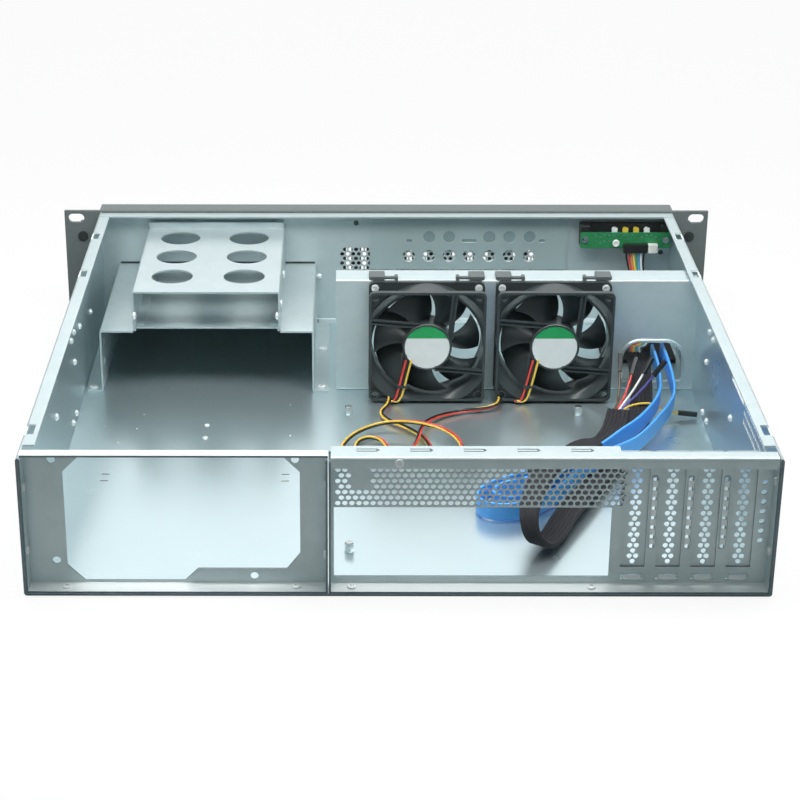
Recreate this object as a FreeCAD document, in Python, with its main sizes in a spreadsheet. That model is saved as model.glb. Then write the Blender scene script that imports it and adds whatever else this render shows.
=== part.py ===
"""Open 2U rackmount server chassis: folded steel tray, rear pans, drive brackets, two fans and cables.

Millimetres. +X is to the right seen from the rear, +Y runs from the rear towards the front, +Z is up.
The helpers below take y from the rear edge; the origin is under the middle of the whole object.
"""
import FreeCAD, Part
import math
import os
import re
import Sketcher

DRIVING_SIZES = {
    # folded body
    "body_width": 430, "body_height": 87, "sheet": 1.2, "tray_depth": 438, "top_flange": 10,
    "front_flange": 10, "flange_gap": 1, "seam": 0.3,
    "lid_notch": 14, "lid_notch_rear": 33, "lid_notch_middle": 297, "lid_notch_front": 377,
    "side_vent_rear": 50, "side_vent_low": 63,
    "floor_slot_length": 5, "floor_slot_width": 1.6, "floor_slot_y": 150, "floor_slot_step": 10,
    "floor_slot_left": -185, "floor_slot_right": -69,
    # rear pans
    "pan_recess": 12, "pan_edge": 0.8, "pan_split": -40, "psu_flange_edge": 4,
    "psu_hole_left": -196.8, "psu_hole_low": 16.7, "psu_pitch_low": 114, "psu_pitch_high": 138,
    "psu_pitch_up": 64, "psu_drop": 10, "psu_hole_radius": 2.4,
    "psu_open_left": -190.8, "psu_open_width": 134.6, "psu_open_bottom": 3.8, "psu_open_height": 79.4,
    "psu_corner": 10, "psu_step_x": -123, "psu_step_rise": 7.7,
    "io_left": -36.9, "io_width": 158.75, "io_bottom": 6.6, "io_height": 44.45,
    "vent_margin": 2, "vent_pitch": 9, "vent_hole": 7.4,
    "slot_first": 135.3, "slot_pitch": 20.32, "slot_open": 14, "slot_bottom": 13,
    "slot_height": 66, "cover_width": 18.4, "cover_sheet": 0.9, "cover_overlap": 2, "cover_tab": 11.4,
    "cover_hole": 4.8, "cover_hole_pitch": 6, "cover_hole_step": 10,
    "lance_width": 13, "lance_height": 3.4, "lance_bottom": 4.6,
    "rail_edge": 1.5, "rail_depth": 17.5, "rail_lip": 6.8, "rail_wide_end": 125, "rail_narrow": 10,
    "rail_slot_first": -24, "rail_slot_pitch": 30.2, "rail_slot_length": 11.6,
    "rail_slot_width": 1.6, "rail_slot_y": 11.2,
    # front
    "panel_width": 482.6, "panel_height": 87.5, "panel_lift": 0.5, "plate_thick": 3,
    "ear_width": 26.3, "ear_slot_inset": 8.75, "ear_slot_pitch_z": 76.2, 
    "ear_slot_length": 12, "ear_slot_width": 7,
    "bezel_depth": 16, "bezel_wall": 2.5, "bezel_round": 3,
    "bezel_slot_first": -30, "bezel_slot_pitch": 11.6, "bezel_slot_width": 4, "bezel_slot_bottom": 14,
    "bezel_slot_height": 60, "vent_window_margin": 4,
    "bay_cover_margin": 13.2, "bay_cover_bottom": 5, "bay_cover_height": 42, "bay_cover_seat": 4,
    "handle_inset": 13.3, "handle_pitch": 48, "handle_bar": 8, "handle_width": 10, "handle_reach": 30,
    "handle_round": 7, "handle_screw_radius": 4, "handle_screw_head": 0.8,
    "button_z": 52, "power_inset": 55, "reset_inset": 19, "power_radius": 6, "reset_radius": 3.5,
    "button_proud": 1.5, "button_collar": 1.5, "button_collar_step": 1.5, "button_stem": 2,
    "button_travel": 2.5, "switch_width": 6.2, "switch_depth": 5,
    "blank_left": -12, "blank_width": 148.5, "blank_drop": 44, "blank_height": 40,
    "blank_hole_radius": 4.6, "blank_row_low": 10.6, "blank_row_high": 25.6, "blank_hole_first": 29.4,
    "blank_hole_pitch": 15.1, "blank_open_margin": 6,
    "patch_left": -34, "patch_bottom": 46,
    # drive brackets
    "bay_left": -201.8, "bay_width": 149.4, "bay_depth": 140.3, "bay_height": 45.8, "bay_foot": 10,
    "bay_notch_depth": 3, "bay_opening_rise": 5, "bay_slot_length": 9, "bay_slot_width": 3.4,
    "disk_inset": 23.6, "disk_width": 102.4, "disk_headroom": 11, "disk_depth": 137, "disk_foot": 7,
    "disk_lip": 5, "disk_hole_radius": 14.5, "disk_hole_pitch_x": 50.6, "disk_hole_pitch_y": 41.5,
    "disk_hole_first": 31.5,
    # fans and their wall
    "fan_wall_y": 300.5, "fan_wall_gap": 5.4, "fan_wall_flange": 19.5,
    "fan_wall_foot": 11, "arch_left": 164, "arch_width": 41, "arch_bottom": 9.8, "arch_height": 27.7,
    "arch_round": 12,
    "fan_size": 80, "fan_depth": 25, "fan_flange": 4, "fan_bore_radius": 38.2, "fan_ring": 1.4,
    "fan_hole_pitch": 71.5, "fan_hole_radius": 2.2, "fan_hub_radius": 17, "fan_hub_depth": 4,
    "fan_strut_width": 4, "fan_strut_depth": 3, "fan_left_x": 25.8, "fan_pitch_x": 87.6,
    "fan_lift": 2.1,
    "rotor_tip_gap": 1.4, "rotor_hub_radius": 16.2, "rotor_gap": 0.3, "rotor_depth": 19,
    "shaft_radius": 2, "shaft_length": 3, "blade_sheet": 1.6, "blade_span": 25,
    "blade_rise": 14, "blade_camber": 3,
    "clip_width": 20, "clip_depth": 12, "clip_height": 2.2,
    # indicator board
    "board_left": 145, "board_width": 67, "board_drop": 23, "board_height": 12, "board_thick": 1.6,
    "holder_depth": 11.2, "holder_back": 4.8, "holder_post": 7, "holder_rise": 4.5,
    "led_size": 4.2, "led_first": 170.3, "led_pitch": 8, "led_depth": 5.5,
    "header_left": 177, "header_width": 18, "header_height": 6.2, "header_depth": 5, "socket_width": 7,
    "buzzer_x": 171.5, "buzzer_radius": 2.6, "buzzer_depth": 2,
    # small fasteners
    "screw_radius": 2.6, "screw_head": 1.3, "standoff_radius": 3.4, "standoff_height": 6.35,
    "standoff_x": -28, "standoff_pitch_x": 157.48, "standoff_rear": 53, "standoff_pitch_y": 204.47,
    # cables
    "lead_size": 2.8, "loom_width": 8, "loom_thick": 4.5, "flat_width": 12, "flat_thick": 2,
    "ribbon_width": 10, "ribbon_thick": 1.3, "wire_size": 1.3, "housing_size": 2.6,
    "housing_length": 13, "fan_plug_width": 8, "fan_plug_height": 5, "fan_plug_length": 11,
    "flat_plug_width": 6, "flat_plug_height": 13, "flat_plug_length": 11,
}

# Counts of what repeats, and the sides of the round forms that need no exact wall
SLOT_COUNT = 4
RAIL_SLOT_COUNT = 5
BEZEL_SLOT_COUNT = 14
LED_COUNT = 4
BLADE_COUNT = 7
VENT_COLUMNS, VENT_ROWS = 17, 3
VENT_BLANK_COLUMNS = 1
SIDE_VENT_COLUMNS, SIDE_VENT_ROWS = 7, 3
PATCH_COLUMNS, PATCH_ROWS = 2, 2
COVER_HOLE_ROWS = 6
BLANK_HOLE_COLUMNS = 7
PLAIN_BLANK_COLUMNS = (0, 3)
WIDE_SIDES, DISK_SIDES, HOLE_SIDES, HEAD_SIDES = 24, 18, 12, 8

doc = FreeCAD.newDocument("rack_chassis")
sheet = doc.addObject("Spreadsheet::Sheet", "sizes")
for row, (alias, value) in enumerate(DRIVING_SIZES.items(), 1):
    sheet.set(f"A{row}", alias)
    sheet.set(f"B{row}", str(value))
    sheet.setAlias(f"B{row}", alias)
doc.recompute()

# Places that several pieces share, as expressions on the sheet.
MIDDLE = "((tray_depth + plate_thick + handle_reach) / 2)"
WALL = "(body_width / 2 - sheet)"
LID = "(body_height - sheet)"
PANEL_IN = "(tray_depth - sheet)"
PLATE_FRONT = "(tray_depth + plate_thick)"
BEZEL_FRONT = "(tray_depth + plate_thick + bezel_depth)"
BEZEL_IN = "(tray_depth + plate_thick + bezel_depth - bezel_wall)"
PANEL_TOP = "(panel_lift + panel_height)"
PANEL_MID = "(panel_lift + panel_height / 2)"
BEZEL_HALF = "(panel_width / 2 - ear_width)"
HANDLE_X = "(panel_width / 2 - handle_inset)"
BUTTON_X = {name: f"({BEZEL_HALF} - {name}_inset)" for name in ("power", "reset")}
PAN_FACE = "(pan_recess + sheet)"
BAY_TOP = "(sheet + bay_height)"
BAY_RIGHT = "(bay_left + bay_width)"
BAY_NEAR = "(tray_depth - sheet - bay_depth)"
DISK_LEFT = "(bay_left + disk_inset)"
DISK_TOP = "(body_height - disk_headroom)"
FAN_REAR = "(fan_wall_y - fan_depth)"
FAN_Z = "(sheet + fan_lift + fan_size / 2)"
FAN_WALL_LEFT = "(bay_left + bay_width + bay_foot + fan_wall_gap)"
FAN_WALL_TOP = "(sheet + fan_lift + fan_size + seam)"
BLANK_BOTTOM = "(body_height - blank_drop)"
BOARD_BOTTOM = "(body_height - board_drop)"
BOARD_Y = "(tray_depth - sheet - holder_depth - board_thick)"

nodes = []


def linked(text):
    """The expression with each size name pointed at the sheet."""
    return re.sub(r"[a-z][a-z0-9_]*", lambda word: "sizes." + word.group(0), text)


def number(text):
    """The expression's value now."""
    return float(sheet.evalExpression(text))


def shifted(y):
    """A distance from the rear edge as the model's own y."""
    return f"({y}) - {MIDDLE}"


def node(item, label):
    """Mark an object as a sub-part under its own name."""
    item.Label = label
    nodes.append(item)
    return item


def place(item, x, y, z):
    """Bind an object's position."""
    for axis, text in zip("xyz", (x, shifted(y), z)):
        item.setExpression(f".Placement.Base.{axis}", linked(text))


def slab(name, x, y, z):
    """A box between two expressions on each axis."""
    item = doc.addObject("Part::Box", name)
    for side, (low, high) in zip(("Length", "Width", "Height"), (x, y, z)):
        item.setExpression(side, linked(f"({high}) - ({low})"))
    place(item, x[0], y[0], z[0])
    return item


def rod(name, axis, start, radius, length, sides=0):
    """A cylinder, or a prism of so many sides, that runs from start along +axis."""
    item = doc.addObject("Part::Prism" if sides else "Part::Cylinder", name)
    if sides:
        item.Polygon = sides
    turn = {"x": ((0, 1, 0), 90), "y": ((1, 0, 0), -90), "z": ((0, 0, 1), 0)}[axis]
    item.Placement = FreeCAD.Placement(FreeCAD.Vector(), FreeCAD.Rotation(FreeCAD.Vector(*turn[0]), turn[1]))
    item.setExpression("Circumradius" if sides else "Radius", linked(radius))
    item.setExpression("Height", linked(length))
    place(item, *start)
    return item


def profile_pad(name, plane, points, start, length):
    """A body padded from a closed outline; plane XZ pads along +Y and plane YZ along +X."""
    body = doc.addObject("PartDesign::Body", name)
    outline = body.newObject("Sketcher::SketchObject", name + "_outline")
    support = next(item for item in body.Origin.OriginFeatures if item.Role == plane + "_Plane")
    outline.AttachmentSupport = [(support, "")]
    outline.MapMode = "FlatFace"
    if plane == "YZ":
        points = [(shifted(y), z) for y, z in points]
        offset = start
    else:
        offset = f"-({shifted(start)})"
    corners = [FreeCAD.Vector(number(a), number(b), 0) for a, b in points]
    count = len(corners)
    for index in range(count):
        outline.addGeometry(Part.LineSegment(corners[index], corners[(index + 1) % count]))
    for index in range(count):
        outline.addConstraint(Sketcher.Constraint("Coincident", index, 2, (index + 1) % count, 1))
    for index, texts in enumerate(points):
        for kind, text, value in zip(("DistanceX", "DistanceY"), texts, corners[index]):
            key = outline.addConstraint(Sketcher.Constraint(kind, -1, 1, index, 1, value))
            outline.setExpression(f"Constraints[{key}]", linked(text))
    outline.setExpression(".AttachmentOffset.Base.z", linked(offset))
    pad = body.newObject("PartDesign::Pad", name + "_pad")
    pad.Profile = outline
    pad.setExpression("Length", linked(length))
    pad.Reversed = plane == "XZ"
    return body


def group(name, items):
    """Several solids kept side by side in one object."""
    item = doc.addObject("Part::Compound", name)
    item.Links = items
    return item


def cut(name, base, tools):
    """The base with every tool taken out of it."""
    item = doc.addObject("Part::Cut", name)
    item.Base = base
    item.Tool = tools[0] if len(tools) == 1 else group(name + "_tools", tools)
    return item


def joined(name, items):
    """Solids fused to one."""
    item = doc.addObject("Part::MultiFuse", name)
    item.Shapes = items
    return item


def rounded(name, base, radius, chosen):
    """The base with the chosen straight edges rounded."""
    doc.recompute()
    picked = [index for index, edge in enumerate(base.Shape.Edges, 1) if chosen(edge)]
    item = doc.addObject("Part::Fillet", name)
    item.Base = base
    item.Edges = [(index, number(radius), number(radius)) for index in picked]
    return item


def runs_along(edge, axis):
    """Whether a straight edge is parallel to an axis given as 0, 1 or 2."""
    low, high = edge.Vertexes[0].Point, edge.Vertexes[-1].Point
    spread = [abs(a - b) for a, b in zip(low, high)]
    return spread[axis] > 1e-6 and sum(spread) - spread[axis] < 1e-6


def hex_field(name, normal, centres, flats, start, depth):
    """Hexagonal punches at (u, v) centres; the normal is x or y and start counts along it."""
    radius = flats / math.sqrt(3)
    punches = []
    for across, up in centres:
        corners = []
        for step in range(7):
            angle = math.radians(60 * step + 30)
            side, rise = across + radius * math.cos(angle), up + radius * math.sin(angle)
            point = (start, side, rise) if normal == "x" else (side, start, rise)
            corners.append(FreeCAD.Vector(*point))
        direction = FreeCAD.Vector(depth, 0, 0) if normal == "x" else FreeCAD.Vector(0, depth, 0)
        punches.append(Part.Face(Part.makePolygon(corners)).extrude(direction))
    item = doc.addObject("Part::Feature", name)
    item.Shape = Part.makeCompound(punches)
    return item


def staggered(first, low, columns, rows, pitch):
    """Centres of a honeycomb: every other row is shifted by half a pitch."""
    rise = pitch * math.sqrt(3) / 2
    return [(first + pitch * (column + 0.5 * (line % 2)), low + rise * line)
            for line in range(rows) for column in range(columns)]


# Tray: floor, side walls and inward top flanges folded from one sheet
tray_blank = profile_pad("tray_blank", "XZ", [
    ("-body_width / 2", "0"), ("body_width / 2", "0"), ("body_width / 2", "body_height"),
    ("body_width / 2 - top_flange", "body_height"), ("body_width / 2 - top_flange", LID),
    (WALL, LID), (WALL, "sheet"), (f"-{WALL}", "sheet"), (f"-{WALL}", LID),
    ("top_flange - body_width / 2", LID), ("top_flange - body_width / 2", "body_height"),
    ("-body_width / 2", "body_height")], "0", "tray_depth")
tray_cuts = []
FLANGE_REAR = "(rail_depth + flange_gap)"
FLANGE_FRONT = "(tray_depth - front_flange - flange_gap)"
for side, low, high in (("left", f"-{WALL}", "top_flange - body_width / 2"),
                        ("right", "body_width / 2 - top_flange", WALL)):
    reach = (low, high)
    tray_cuts.append(slab(f"flange_end_rear_{side}", reach, ("0", FLANGE_REAR), (LID, "body_height")))
    tray_cuts.append(slab(f"flange_end_front_{side}", reach, (FLANGE_FRONT, "tray_depth"),
                          (LID, "body_height")))
    for spot in ("rear", "middle", "front"):
        start = f"lid_notch_{spot}"
        tray_cuts.append(slab(f"notch_{spot}_{side}", reach, (start, f"{start} + lid_notch"),
                              (LID, "body_height")))
for side in ("left", "right"):
    for step in (0, 1):
        centre, near = f"floor_slot_{side}", f"floor_slot_y + {step} * floor_slot_step"
        tray_cuts.append(slab(
            f"floor_slot_{side}_{step}",
            (f"{centre} - floor_slot_length / 2", f"{centre} + floor_slot_length / 2"),
            (near, f"{near} + floor_slot_width"), ("0", "sheet")))
side_vent = staggered(number(shifted("side_vent_rear")), number("side_vent_low"), SIDE_VENT_COLUMNS,
                      SIDE_VENT_ROWS, number("vent_pitch"))
tray_cuts.append(hex_field("side_vent", "x", side_vent, number("vent_hole"), number(WALL), number("sheet")))
node(cut("tray", tray_blank, tray_cuts), "base_tray")


# Rear pans: recessed plates whose flanges turn back towards the rear edge
def rear_pan(name, x, top, open_top):
    """A pan between two x places, open to the rear and, where asked, to the top."""
    inner_top = top if open_top else f"{top} - sheet"
    outer = slab(name + "_block", x, ("pan_edge", PAN_FACE), ("sheet", top))
    inner = slab(name + "_hollow", (f"{x[0]} + sheet", f"{x[1]} - sheet"), ("pan_edge", "pan_recess"),
                 ("2 * sheet", inner_top))
    return cut(name + "_pan", outer, [inner])


PSU_RIGHT = "(psu_open_left + psu_open_width)"
PSU_OPEN_TOP = "(psu_open_bottom + psu_open_height)"
PSU_STEP = "(psu_open_bottom + psu_step_rise)"
psu_opening = profile_pad("psu_opening", "XZ", [
    ("psu_open_left + psu_corner", PSU_OPEN_TOP), ("psu_open_left", f"{PSU_OPEN_TOP} - psu_corner"),
    ("psu_open_left", "psu_open_bottom + psu_corner"), ("psu_open_left + psu_corner", "psu_open_bottom"),
    ("psu_step_x", "psu_open_bottom"), ("psu_step_x + psu_step_rise", PSU_STEP),
    (f"{PSU_RIGHT} - psu_step_rise", PSU_STEP), (PSU_RIGHT, f"{PSU_STEP} + psu_corner"),
    (PSU_RIGHT, f"{PSU_OPEN_TOP} - psu_corner"), (f"{PSU_RIGHT} - psu_corner", PSU_OPEN_TOP)],
    "pan_recess", "sheet")
PSU_HIGH = "psu_hole_low + psu_pitch_up"
psu_holes = [("psu_hole_left", "psu_hole_low"), ("psu_hole_left", PSU_HIGH),
             ("psu_hole_left + psu_pitch_high", PSU_HIGH),
             ("psu_hole_left + psu_pitch_low", "psu_hole_low - psu_drop")]
psu_cuts = [psu_opening]
psu_cuts.append(slab("psu_flange_trim", (f"-{WALL}", "pan_split"), ("pan_edge", "psu_flange_edge"),
                     (LID, "body_height")))
for index, (x, z) in enumerate(psu_holes):
    psu_cuts.append(rod(f"psu_hole_{index}", "y", (x, "pan_recess", z), "psu_hole_radius", "sheet"))
psu_blank = rear_pan("psu", (f"-{WALL}", "pan_split - seam"), "body_height", False)
node(cut("psu_plate", psu_blank, psu_cuts), "psu_rear_pan")

io_cuts = [slab("io_opening", ("io_left", "io_left + io_width"), ("pan_recess", PAN_FACE),
                ("io_bottom", "io_bottom + io_height"))]
SLOT_TOP = "(slot_bottom + slot_height)"
slot_places = [f"(slot_first + {index} * slot_pitch)" for index in range(SLOT_COUNT)]
for index, centre in enumerate(slot_places, 1):
    io_cuts.append(slab(f"slot_{index}", (f"{centre} - slot_open / 2", f"{centre} + slot_open / 2"),
                        ("pan_recess", PAN_FACE), ("slot_bottom", SLOT_TOP)))
    io_cuts.append(slab(f"lance_{index}", (f"{centre} - lance_width / 2", f"{centre} + lance_width / 2"),
                        ("pan_recess", PAN_FACE), ("lance_bottom", "lance_bottom + lance_height")))
vent_low = number("io_bottom + io_height + vent_margin + vent_hole / 2")
vent_first = number("io_left + vent_margin + vent_hole / 2")
vent = staggered(vent_first, vent_low, VENT_COLUMNS, VENT_ROWS, number("vent_pitch"))
blank_from = VENT_COLUMNS * (VENT_ROWS - 1) + 1
del vent[blank_from:blank_from + VENT_BLANK_COLUMNS]
io_cuts.append(hex_field("honeycomb", "y", vent, number("vent_hole"), number(shifted("pan_recess")),
                         number("sheet")))
io_blank = rear_pan("io", ("pan_split + seam", WALL), LID, True)
node(cut("io_plate", io_blank, io_cuts), "io_rear_pan")

RAIL_LEFT = "(pan_split + seam + sheet)"
rail_blank = profile_pad("rail_blank", "YZ", [
    ("rail_edge", "body_height - rail_lip"), ("rail_edge + sheet", "body_height - rail_lip"),
    ("rail_edge + sheet", LID), ("rail_depth", LID), ("rail_depth", "body_height"),
    ("rail_edge", "body_height")], RAIL_LEFT, f"{WALL} - sheet - {RAIL_LEFT}")
rail_cuts = [slab("rail_step", ("rail_wide_end", WALL), ("rail_narrow", "rail_depth"), (LID, "body_height"))]
for index in range(RAIL_SLOT_COUNT):
    start = f"rail_slot_first + {index} * rail_slot_pitch"
    rail_cuts.append(slab(f"rail_slot_{index}", (start, f"{start} + rail_slot_length"),
                          ("rail_slot_y", "rail_slot_y + rail_slot_width"), (LID, "body_height")))
node(cut("rail", rail_blank, rail_cuts), "rear_rail")

for index, centre in enumerate(slot_places, 1):
    top = f"({SLOT_TOP} + cover_overlap)"
    blank = profile_pad(f"cover_blank_{index}", "YZ", [
        (PAN_FACE, "slot_bottom - cover_overlap"),
        (f"{PAN_FACE} + cover_sheet", "slot_bottom - cover_overlap"),
        (f"{PAN_FACE} + cover_sheet", f"{top} - cover_sheet"),
        (f"{PAN_FACE} + cover_tab", f"{top} - cover_sheet"),
        (f"{PAN_FACE} + cover_tab", top), (PAN_FACE, top)], f"{centre} - cover_width / 2", "cover_width")
    holes = []
    for line in range(COVER_HOLE_ROWS):
        rise = number("slot_bottom + cover_hole") + line * number("cover_hole_step")
        half = number("cover_hole_pitch") / 2
        holes += [(number(centre) + shift, rise) for shift in ((-half, half) if line % 2 == 0 else (0,))]
    punched = hex_field(f"cover_holes_{index}", "y", holes, number("cover_hole"), number(shifted(PAN_FACE)),
                        number("cover_sheet"))
    node(cut(f"cover_{index}", blank, [punched]), f"slot_cover_{index}")


# Front: inner panel, dark rack plate with ears, bezel, bay cover, handles and buttons
HANDLE_SPOTS = [(f"{side}{HANDLE_X}", f"{PANEL_MID} {sign} handle_pitch / 2")
                for side in ("-", "") for sign in "-+"]
HEAD_Y = "(tray_depth - handle_screw_head)"
panel_blank = profile_pad("panel_blank", "YZ", [
    ("tray_depth - front_flange", "sheet"), ("tray_depth", "sheet"), ("tray_depth", "body_height"),
    ("tray_depth - front_flange", "body_height"), ("tray_depth - front_flange", LID), (PANEL_IN, LID),
    (PANEL_IN, "2 * sheet"), ("tray_depth - front_flange", "2 * sheet")], f"-{WALL}", f"2 * {WALL}")
PANEL_Y = (PANEL_IN, "tray_depth")
LED_WINDOW = (("board_left + holder_post", "board_left + board_width - holder_post"),
              (f"{BOARD_BOTTOM} + board_height / 2", f"{BOARD_BOTTOM} + board_height"))
BLANK_RIGHT = "(blank_left + blank_width)"
BLANK_TOP = f"({BLANK_BOTTOM} + blank_height)"
panel_cuts = [
    slab("panel_bay", ("bay_left + sheet", f"{BAY_RIGHT} - sheet"), PANEL_Y,
         ("2 * sheet", f"{BAY_TOP} + bay_opening_rise")),
    slab("panel_window", ("blank_left + blank_open_margin", f"{BLANK_RIGHT} - blank_open_margin"), PANEL_Y,
         ("bezel_slot_bottom", f"{BLANK_TOP} - blank_open_margin")),
    slab("panel_led_window", LED_WINDOW[0], PANEL_Y, LED_WINDOW[1]),
    hex_field("panel_patch", "y", staggered(
        number("patch_left + vent_hole / 2"), number("patch_bottom + vent_hole / 2"), PATCH_COLUMNS,
        PATCH_ROWS, number("vent_pitch")), number("vent_hole"), number(shifted(PANEL_IN)),
        number("sheet"))]
# Room for the handle screws' heads where the panel is wide enough to reach them
for index, (x, z) in enumerate(HANDLE_SPOTS):
    panel_cuts.append(rod(f"panel_head_room_{index}", "y", (x, PANEL_IN, z), "handle_screw_radius + seam",
                          "sheet", HOLE_SIDES))
node(cut("panel", panel_blank, panel_cuts), "front_panel")

blank_plate = slab("blank_plate", ("blank_left", BLANK_RIGHT), (f"{PANEL_IN} - sheet", PANEL_IN),
                   (BLANK_BOTTOM, BLANK_TOP))
blank_holes = []
for place_in_row in range(BLANK_HOLE_COLUMNS):
    rows = ("low",) if place_in_row in PLAIN_BLANK_COLUMNS else ("low", "high")
    for height in rows:
        blank_holes.append(rod(
            f"blank_hole_{height}_{place_in_row}", "y",
            (f"blank_left + blank_hole_first + {place_in_row} * blank_hole_pitch", f"{PANEL_IN} - sheet",
             f"{BLANK_BOTTOM} + blank_row_{height}"), "blank_hole_radius", "sheet", HOLE_SIDES))
node(cut("blank_cover", blank_plate, blank_holes), "bay_blanking_plate")

PLATE_Y = ("tray_depth", PLATE_FRONT)
plate_blank = slab("plate_blank", ("-panel_width / 2", "panel_width / 2"), PLATE_Y, ("panel_lift", PANEL_TOP))
plate_cuts = []
for index, (side, sign) in enumerate((("-", "-"), ("-", "+"), ("", "-"), ("", "+"))):
    x, z = f"{side}(panel_width / 2 - ear_slot_inset)", f"{PANEL_MID} {sign} ear_slot_pitch_z / 2"
    half = "(ear_slot_length - ear_slot_width) / 2"
    parts = [slab(f"ear_slot_{index}", (f"{x} - {half}", f"{x} + {half}"), PLATE_Y,
                  (f"{z} - ear_slot_width / 2", f"{z} + ear_slot_width / 2"))]
    for end in "-+":
        parts.append(rod(f"ear_slot_end_{index}{'a' if end == '-' else 'b'}", "y",
                         (f"{x} {end} {half}", "tray_depth", z), "ear_slot_width / 2", "plate_thick"))
    plate_cuts.append(joined(f"ear_slot_shape_{index}", parts))
VENT_LEFT = "(bezel_slot_first - vent_window_margin)"
VENT_RIGHT = (f"(bezel_slot_first + {BEZEL_SLOT_COUNT - 1} * bezel_slot_pitch + bezel_slot_width"
              " + vent_window_margin)")
COVER_LEFT = f"(bay_cover_margin - {BEZEL_HALF})"
COVER_TOP = "(bay_cover_bottom + bay_cover_height)"
plate_cuts.append(slab("plate_vent", (VENT_LEFT, VENT_RIGHT), PLATE_Y,
                       ("bezel_slot_bottom", "bezel_slot_bottom + bezel_slot_height")))
plate_cuts.append(slab("plate_bay", (f"{COVER_LEFT} + bay_cover_seat", f"{BAY_RIGHT} - bay_cover_seat"),
                       PLATE_Y, ("bay_cover_bottom + bay_cover_seat", f"{COVER_TOP} - bay_cover_seat")))
plate_cuts.append(slab("plate_led_window", LED_WINDOW[0], PLATE_Y, LED_WINDOW[1]))
node(cut("rack_plate", plate_blank, plate_cuts), "front_plate")

bezel_block = slab("bezel_block", (f"-{BEZEL_HALF}", BEZEL_HALF), (PLATE_FRONT, BEZEL_FRONT),
                   ("panel_lift", PANEL_TOP))
front_y = number(shifted(BEZEL_FRONT))
bezel_round = rounded("bezel_round_edges", bezel_block, "bezel_round", lambda edge: all(
    abs(vertex.Point.y - front_y) < 1e-6 for vertex in edge.Vertexes))
bezel_cuts = [slab("bezel_hollow", (f"bezel_wall - {BEZEL_HALF}", f"{BEZEL_HALF} - bezel_wall"),
                   (PLATE_FRONT, BEZEL_IN), ("panel_lift + bezel_wall", f"{PANEL_TOP} - bezel_wall")),
              slab("bezel_bay", (f"{COVER_LEFT} - seam", f"{BAY_RIGHT} + seam"), (BEZEL_IN, BEZEL_FRONT),
                   ("bay_cover_bottom - seam", f"{COVER_TOP} + seam"))]
for index in range(BEZEL_SLOT_COUNT):
    start = f"bezel_slot_first + {index} * bezel_slot_pitch"
    bezel_cuts.append(slab(f"bezel_slot_{index}", (start, f"{start} + bezel_slot_width"),
                           (BEZEL_IN, BEZEL_FRONT),
                           ("bezel_slot_bottom", "bezel_slot_bottom + bezel_slot_height")))
for name in ("power", "reset"):
    bezel_cuts.append(rod(f"bezel_{name}_hole", "y", (BUTTON_X[name], BEZEL_IN, "button_z"),
                          f"{name}_radius + seam", "bezel_wall", HOLE_SIDES))
node(cut("bezel", bezel_round, bezel_cuts), "front_bezel")

cover_block = slab("cover_block", (COVER_LEFT, BAY_RIGHT), (PLATE_FRONT, BEZEL_FRONT),
                   ("bay_cover_bottom", COVER_TOP))
cover_hollow = slab("cover_hollow", (f"{COVER_LEFT} + bezel_wall", f"{BAY_RIGHT} - bezel_wall"),
                    (PLATE_FRONT, BEZEL_IN), ("bay_cover_bottom + bezel_wall", f"{COVER_TOP} - bezel_wall"))
node(cut("bay_front", cover_block, [cover_hollow]), "bay_cover")

switches = []
for name, x in BUTTON_X.items():
    collar_y = f"({BEZEL_IN} - seam - button_collar)"
    cap = rod(f"{name}_cap", "y", (x, collar_y, "button_z"), f"{name}_radius",
              "seam + button_collar + bezel_wall + button_proud", HOLE_SIDES)
    collar = rod(f"{name}_collar", "y", (x, collar_y, "button_z"), f"{name}_radius + button_collar_step",
                 "button_collar", HOLE_SIDES)
    stem_start = f"({PLATE_FRONT} + switch_depth + button_travel + seam)"
    stem = rod(f"{name}_stem", "y", (x, stem_start, "button_z"), "button_stem", f"{collar_y} - {stem_start}",
               HEAD_SIDES)
    node(joined(f"{name}_shape", [cap, collar, stem]), f"{name}_button")
    half = "switch_width / 2"
    switches.append(slab(f"{name}_switch", (f"{x} - {half}", f"{x} + {half}"),
                         (PLATE_FRONT, f"{PLATE_FRONT} + switch_depth"),
                         (f"button_z - {half}", f"button_z + {half}")))
node(group("switch_pair", switches), "button_switches")

for name, side in (("left", "-"), ("right", "")):
    x = (f"{side}{HANDLE_X} - handle_width / 2", f"{side}{HANDLE_X} + handle_width / 2")
    low, high = f"{PANEL_MID} - handle_pitch / 2", f"{PANEL_MID} + handle_pitch / 2"
    reach = f"{PLATE_FRONT} + handle_reach"
    outer = slab(f"handle_{name}_block", x, (PLATE_FRONT, reach),
                 (f"{low} - handle_bar / 2", f"{high} + handle_bar / 2"))
    inner = slab(f"handle_{name}_gap", x, (PLATE_FRONT, f"{reach} - handle_bar"),
                 (f"{low} + handle_bar / 2", f"{high} - handle_bar / 2"))
    bar = cut(f"handle_{name}_bar", outer, [inner])
    back_y = number(shifted(PLATE_FRONT))
    node(rounded(f"handle_{name}_shape", bar, "handle_round", lambda edge: runs_along(edge, 0)
                 and edge.Vertexes[0].Point.y > back_y + 1), f"handle_{name}")
node(group("handle_screw_set", [
    rod(f"handle_screw_{index}", "y", (x, HEAD_Y, z), "handle_screw_radius",
        "handle_screw_head", HOLE_SIDES)
    for index, (x, z) in enumerate(HANDLE_SPOTS)]), "handle_screws")


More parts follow.
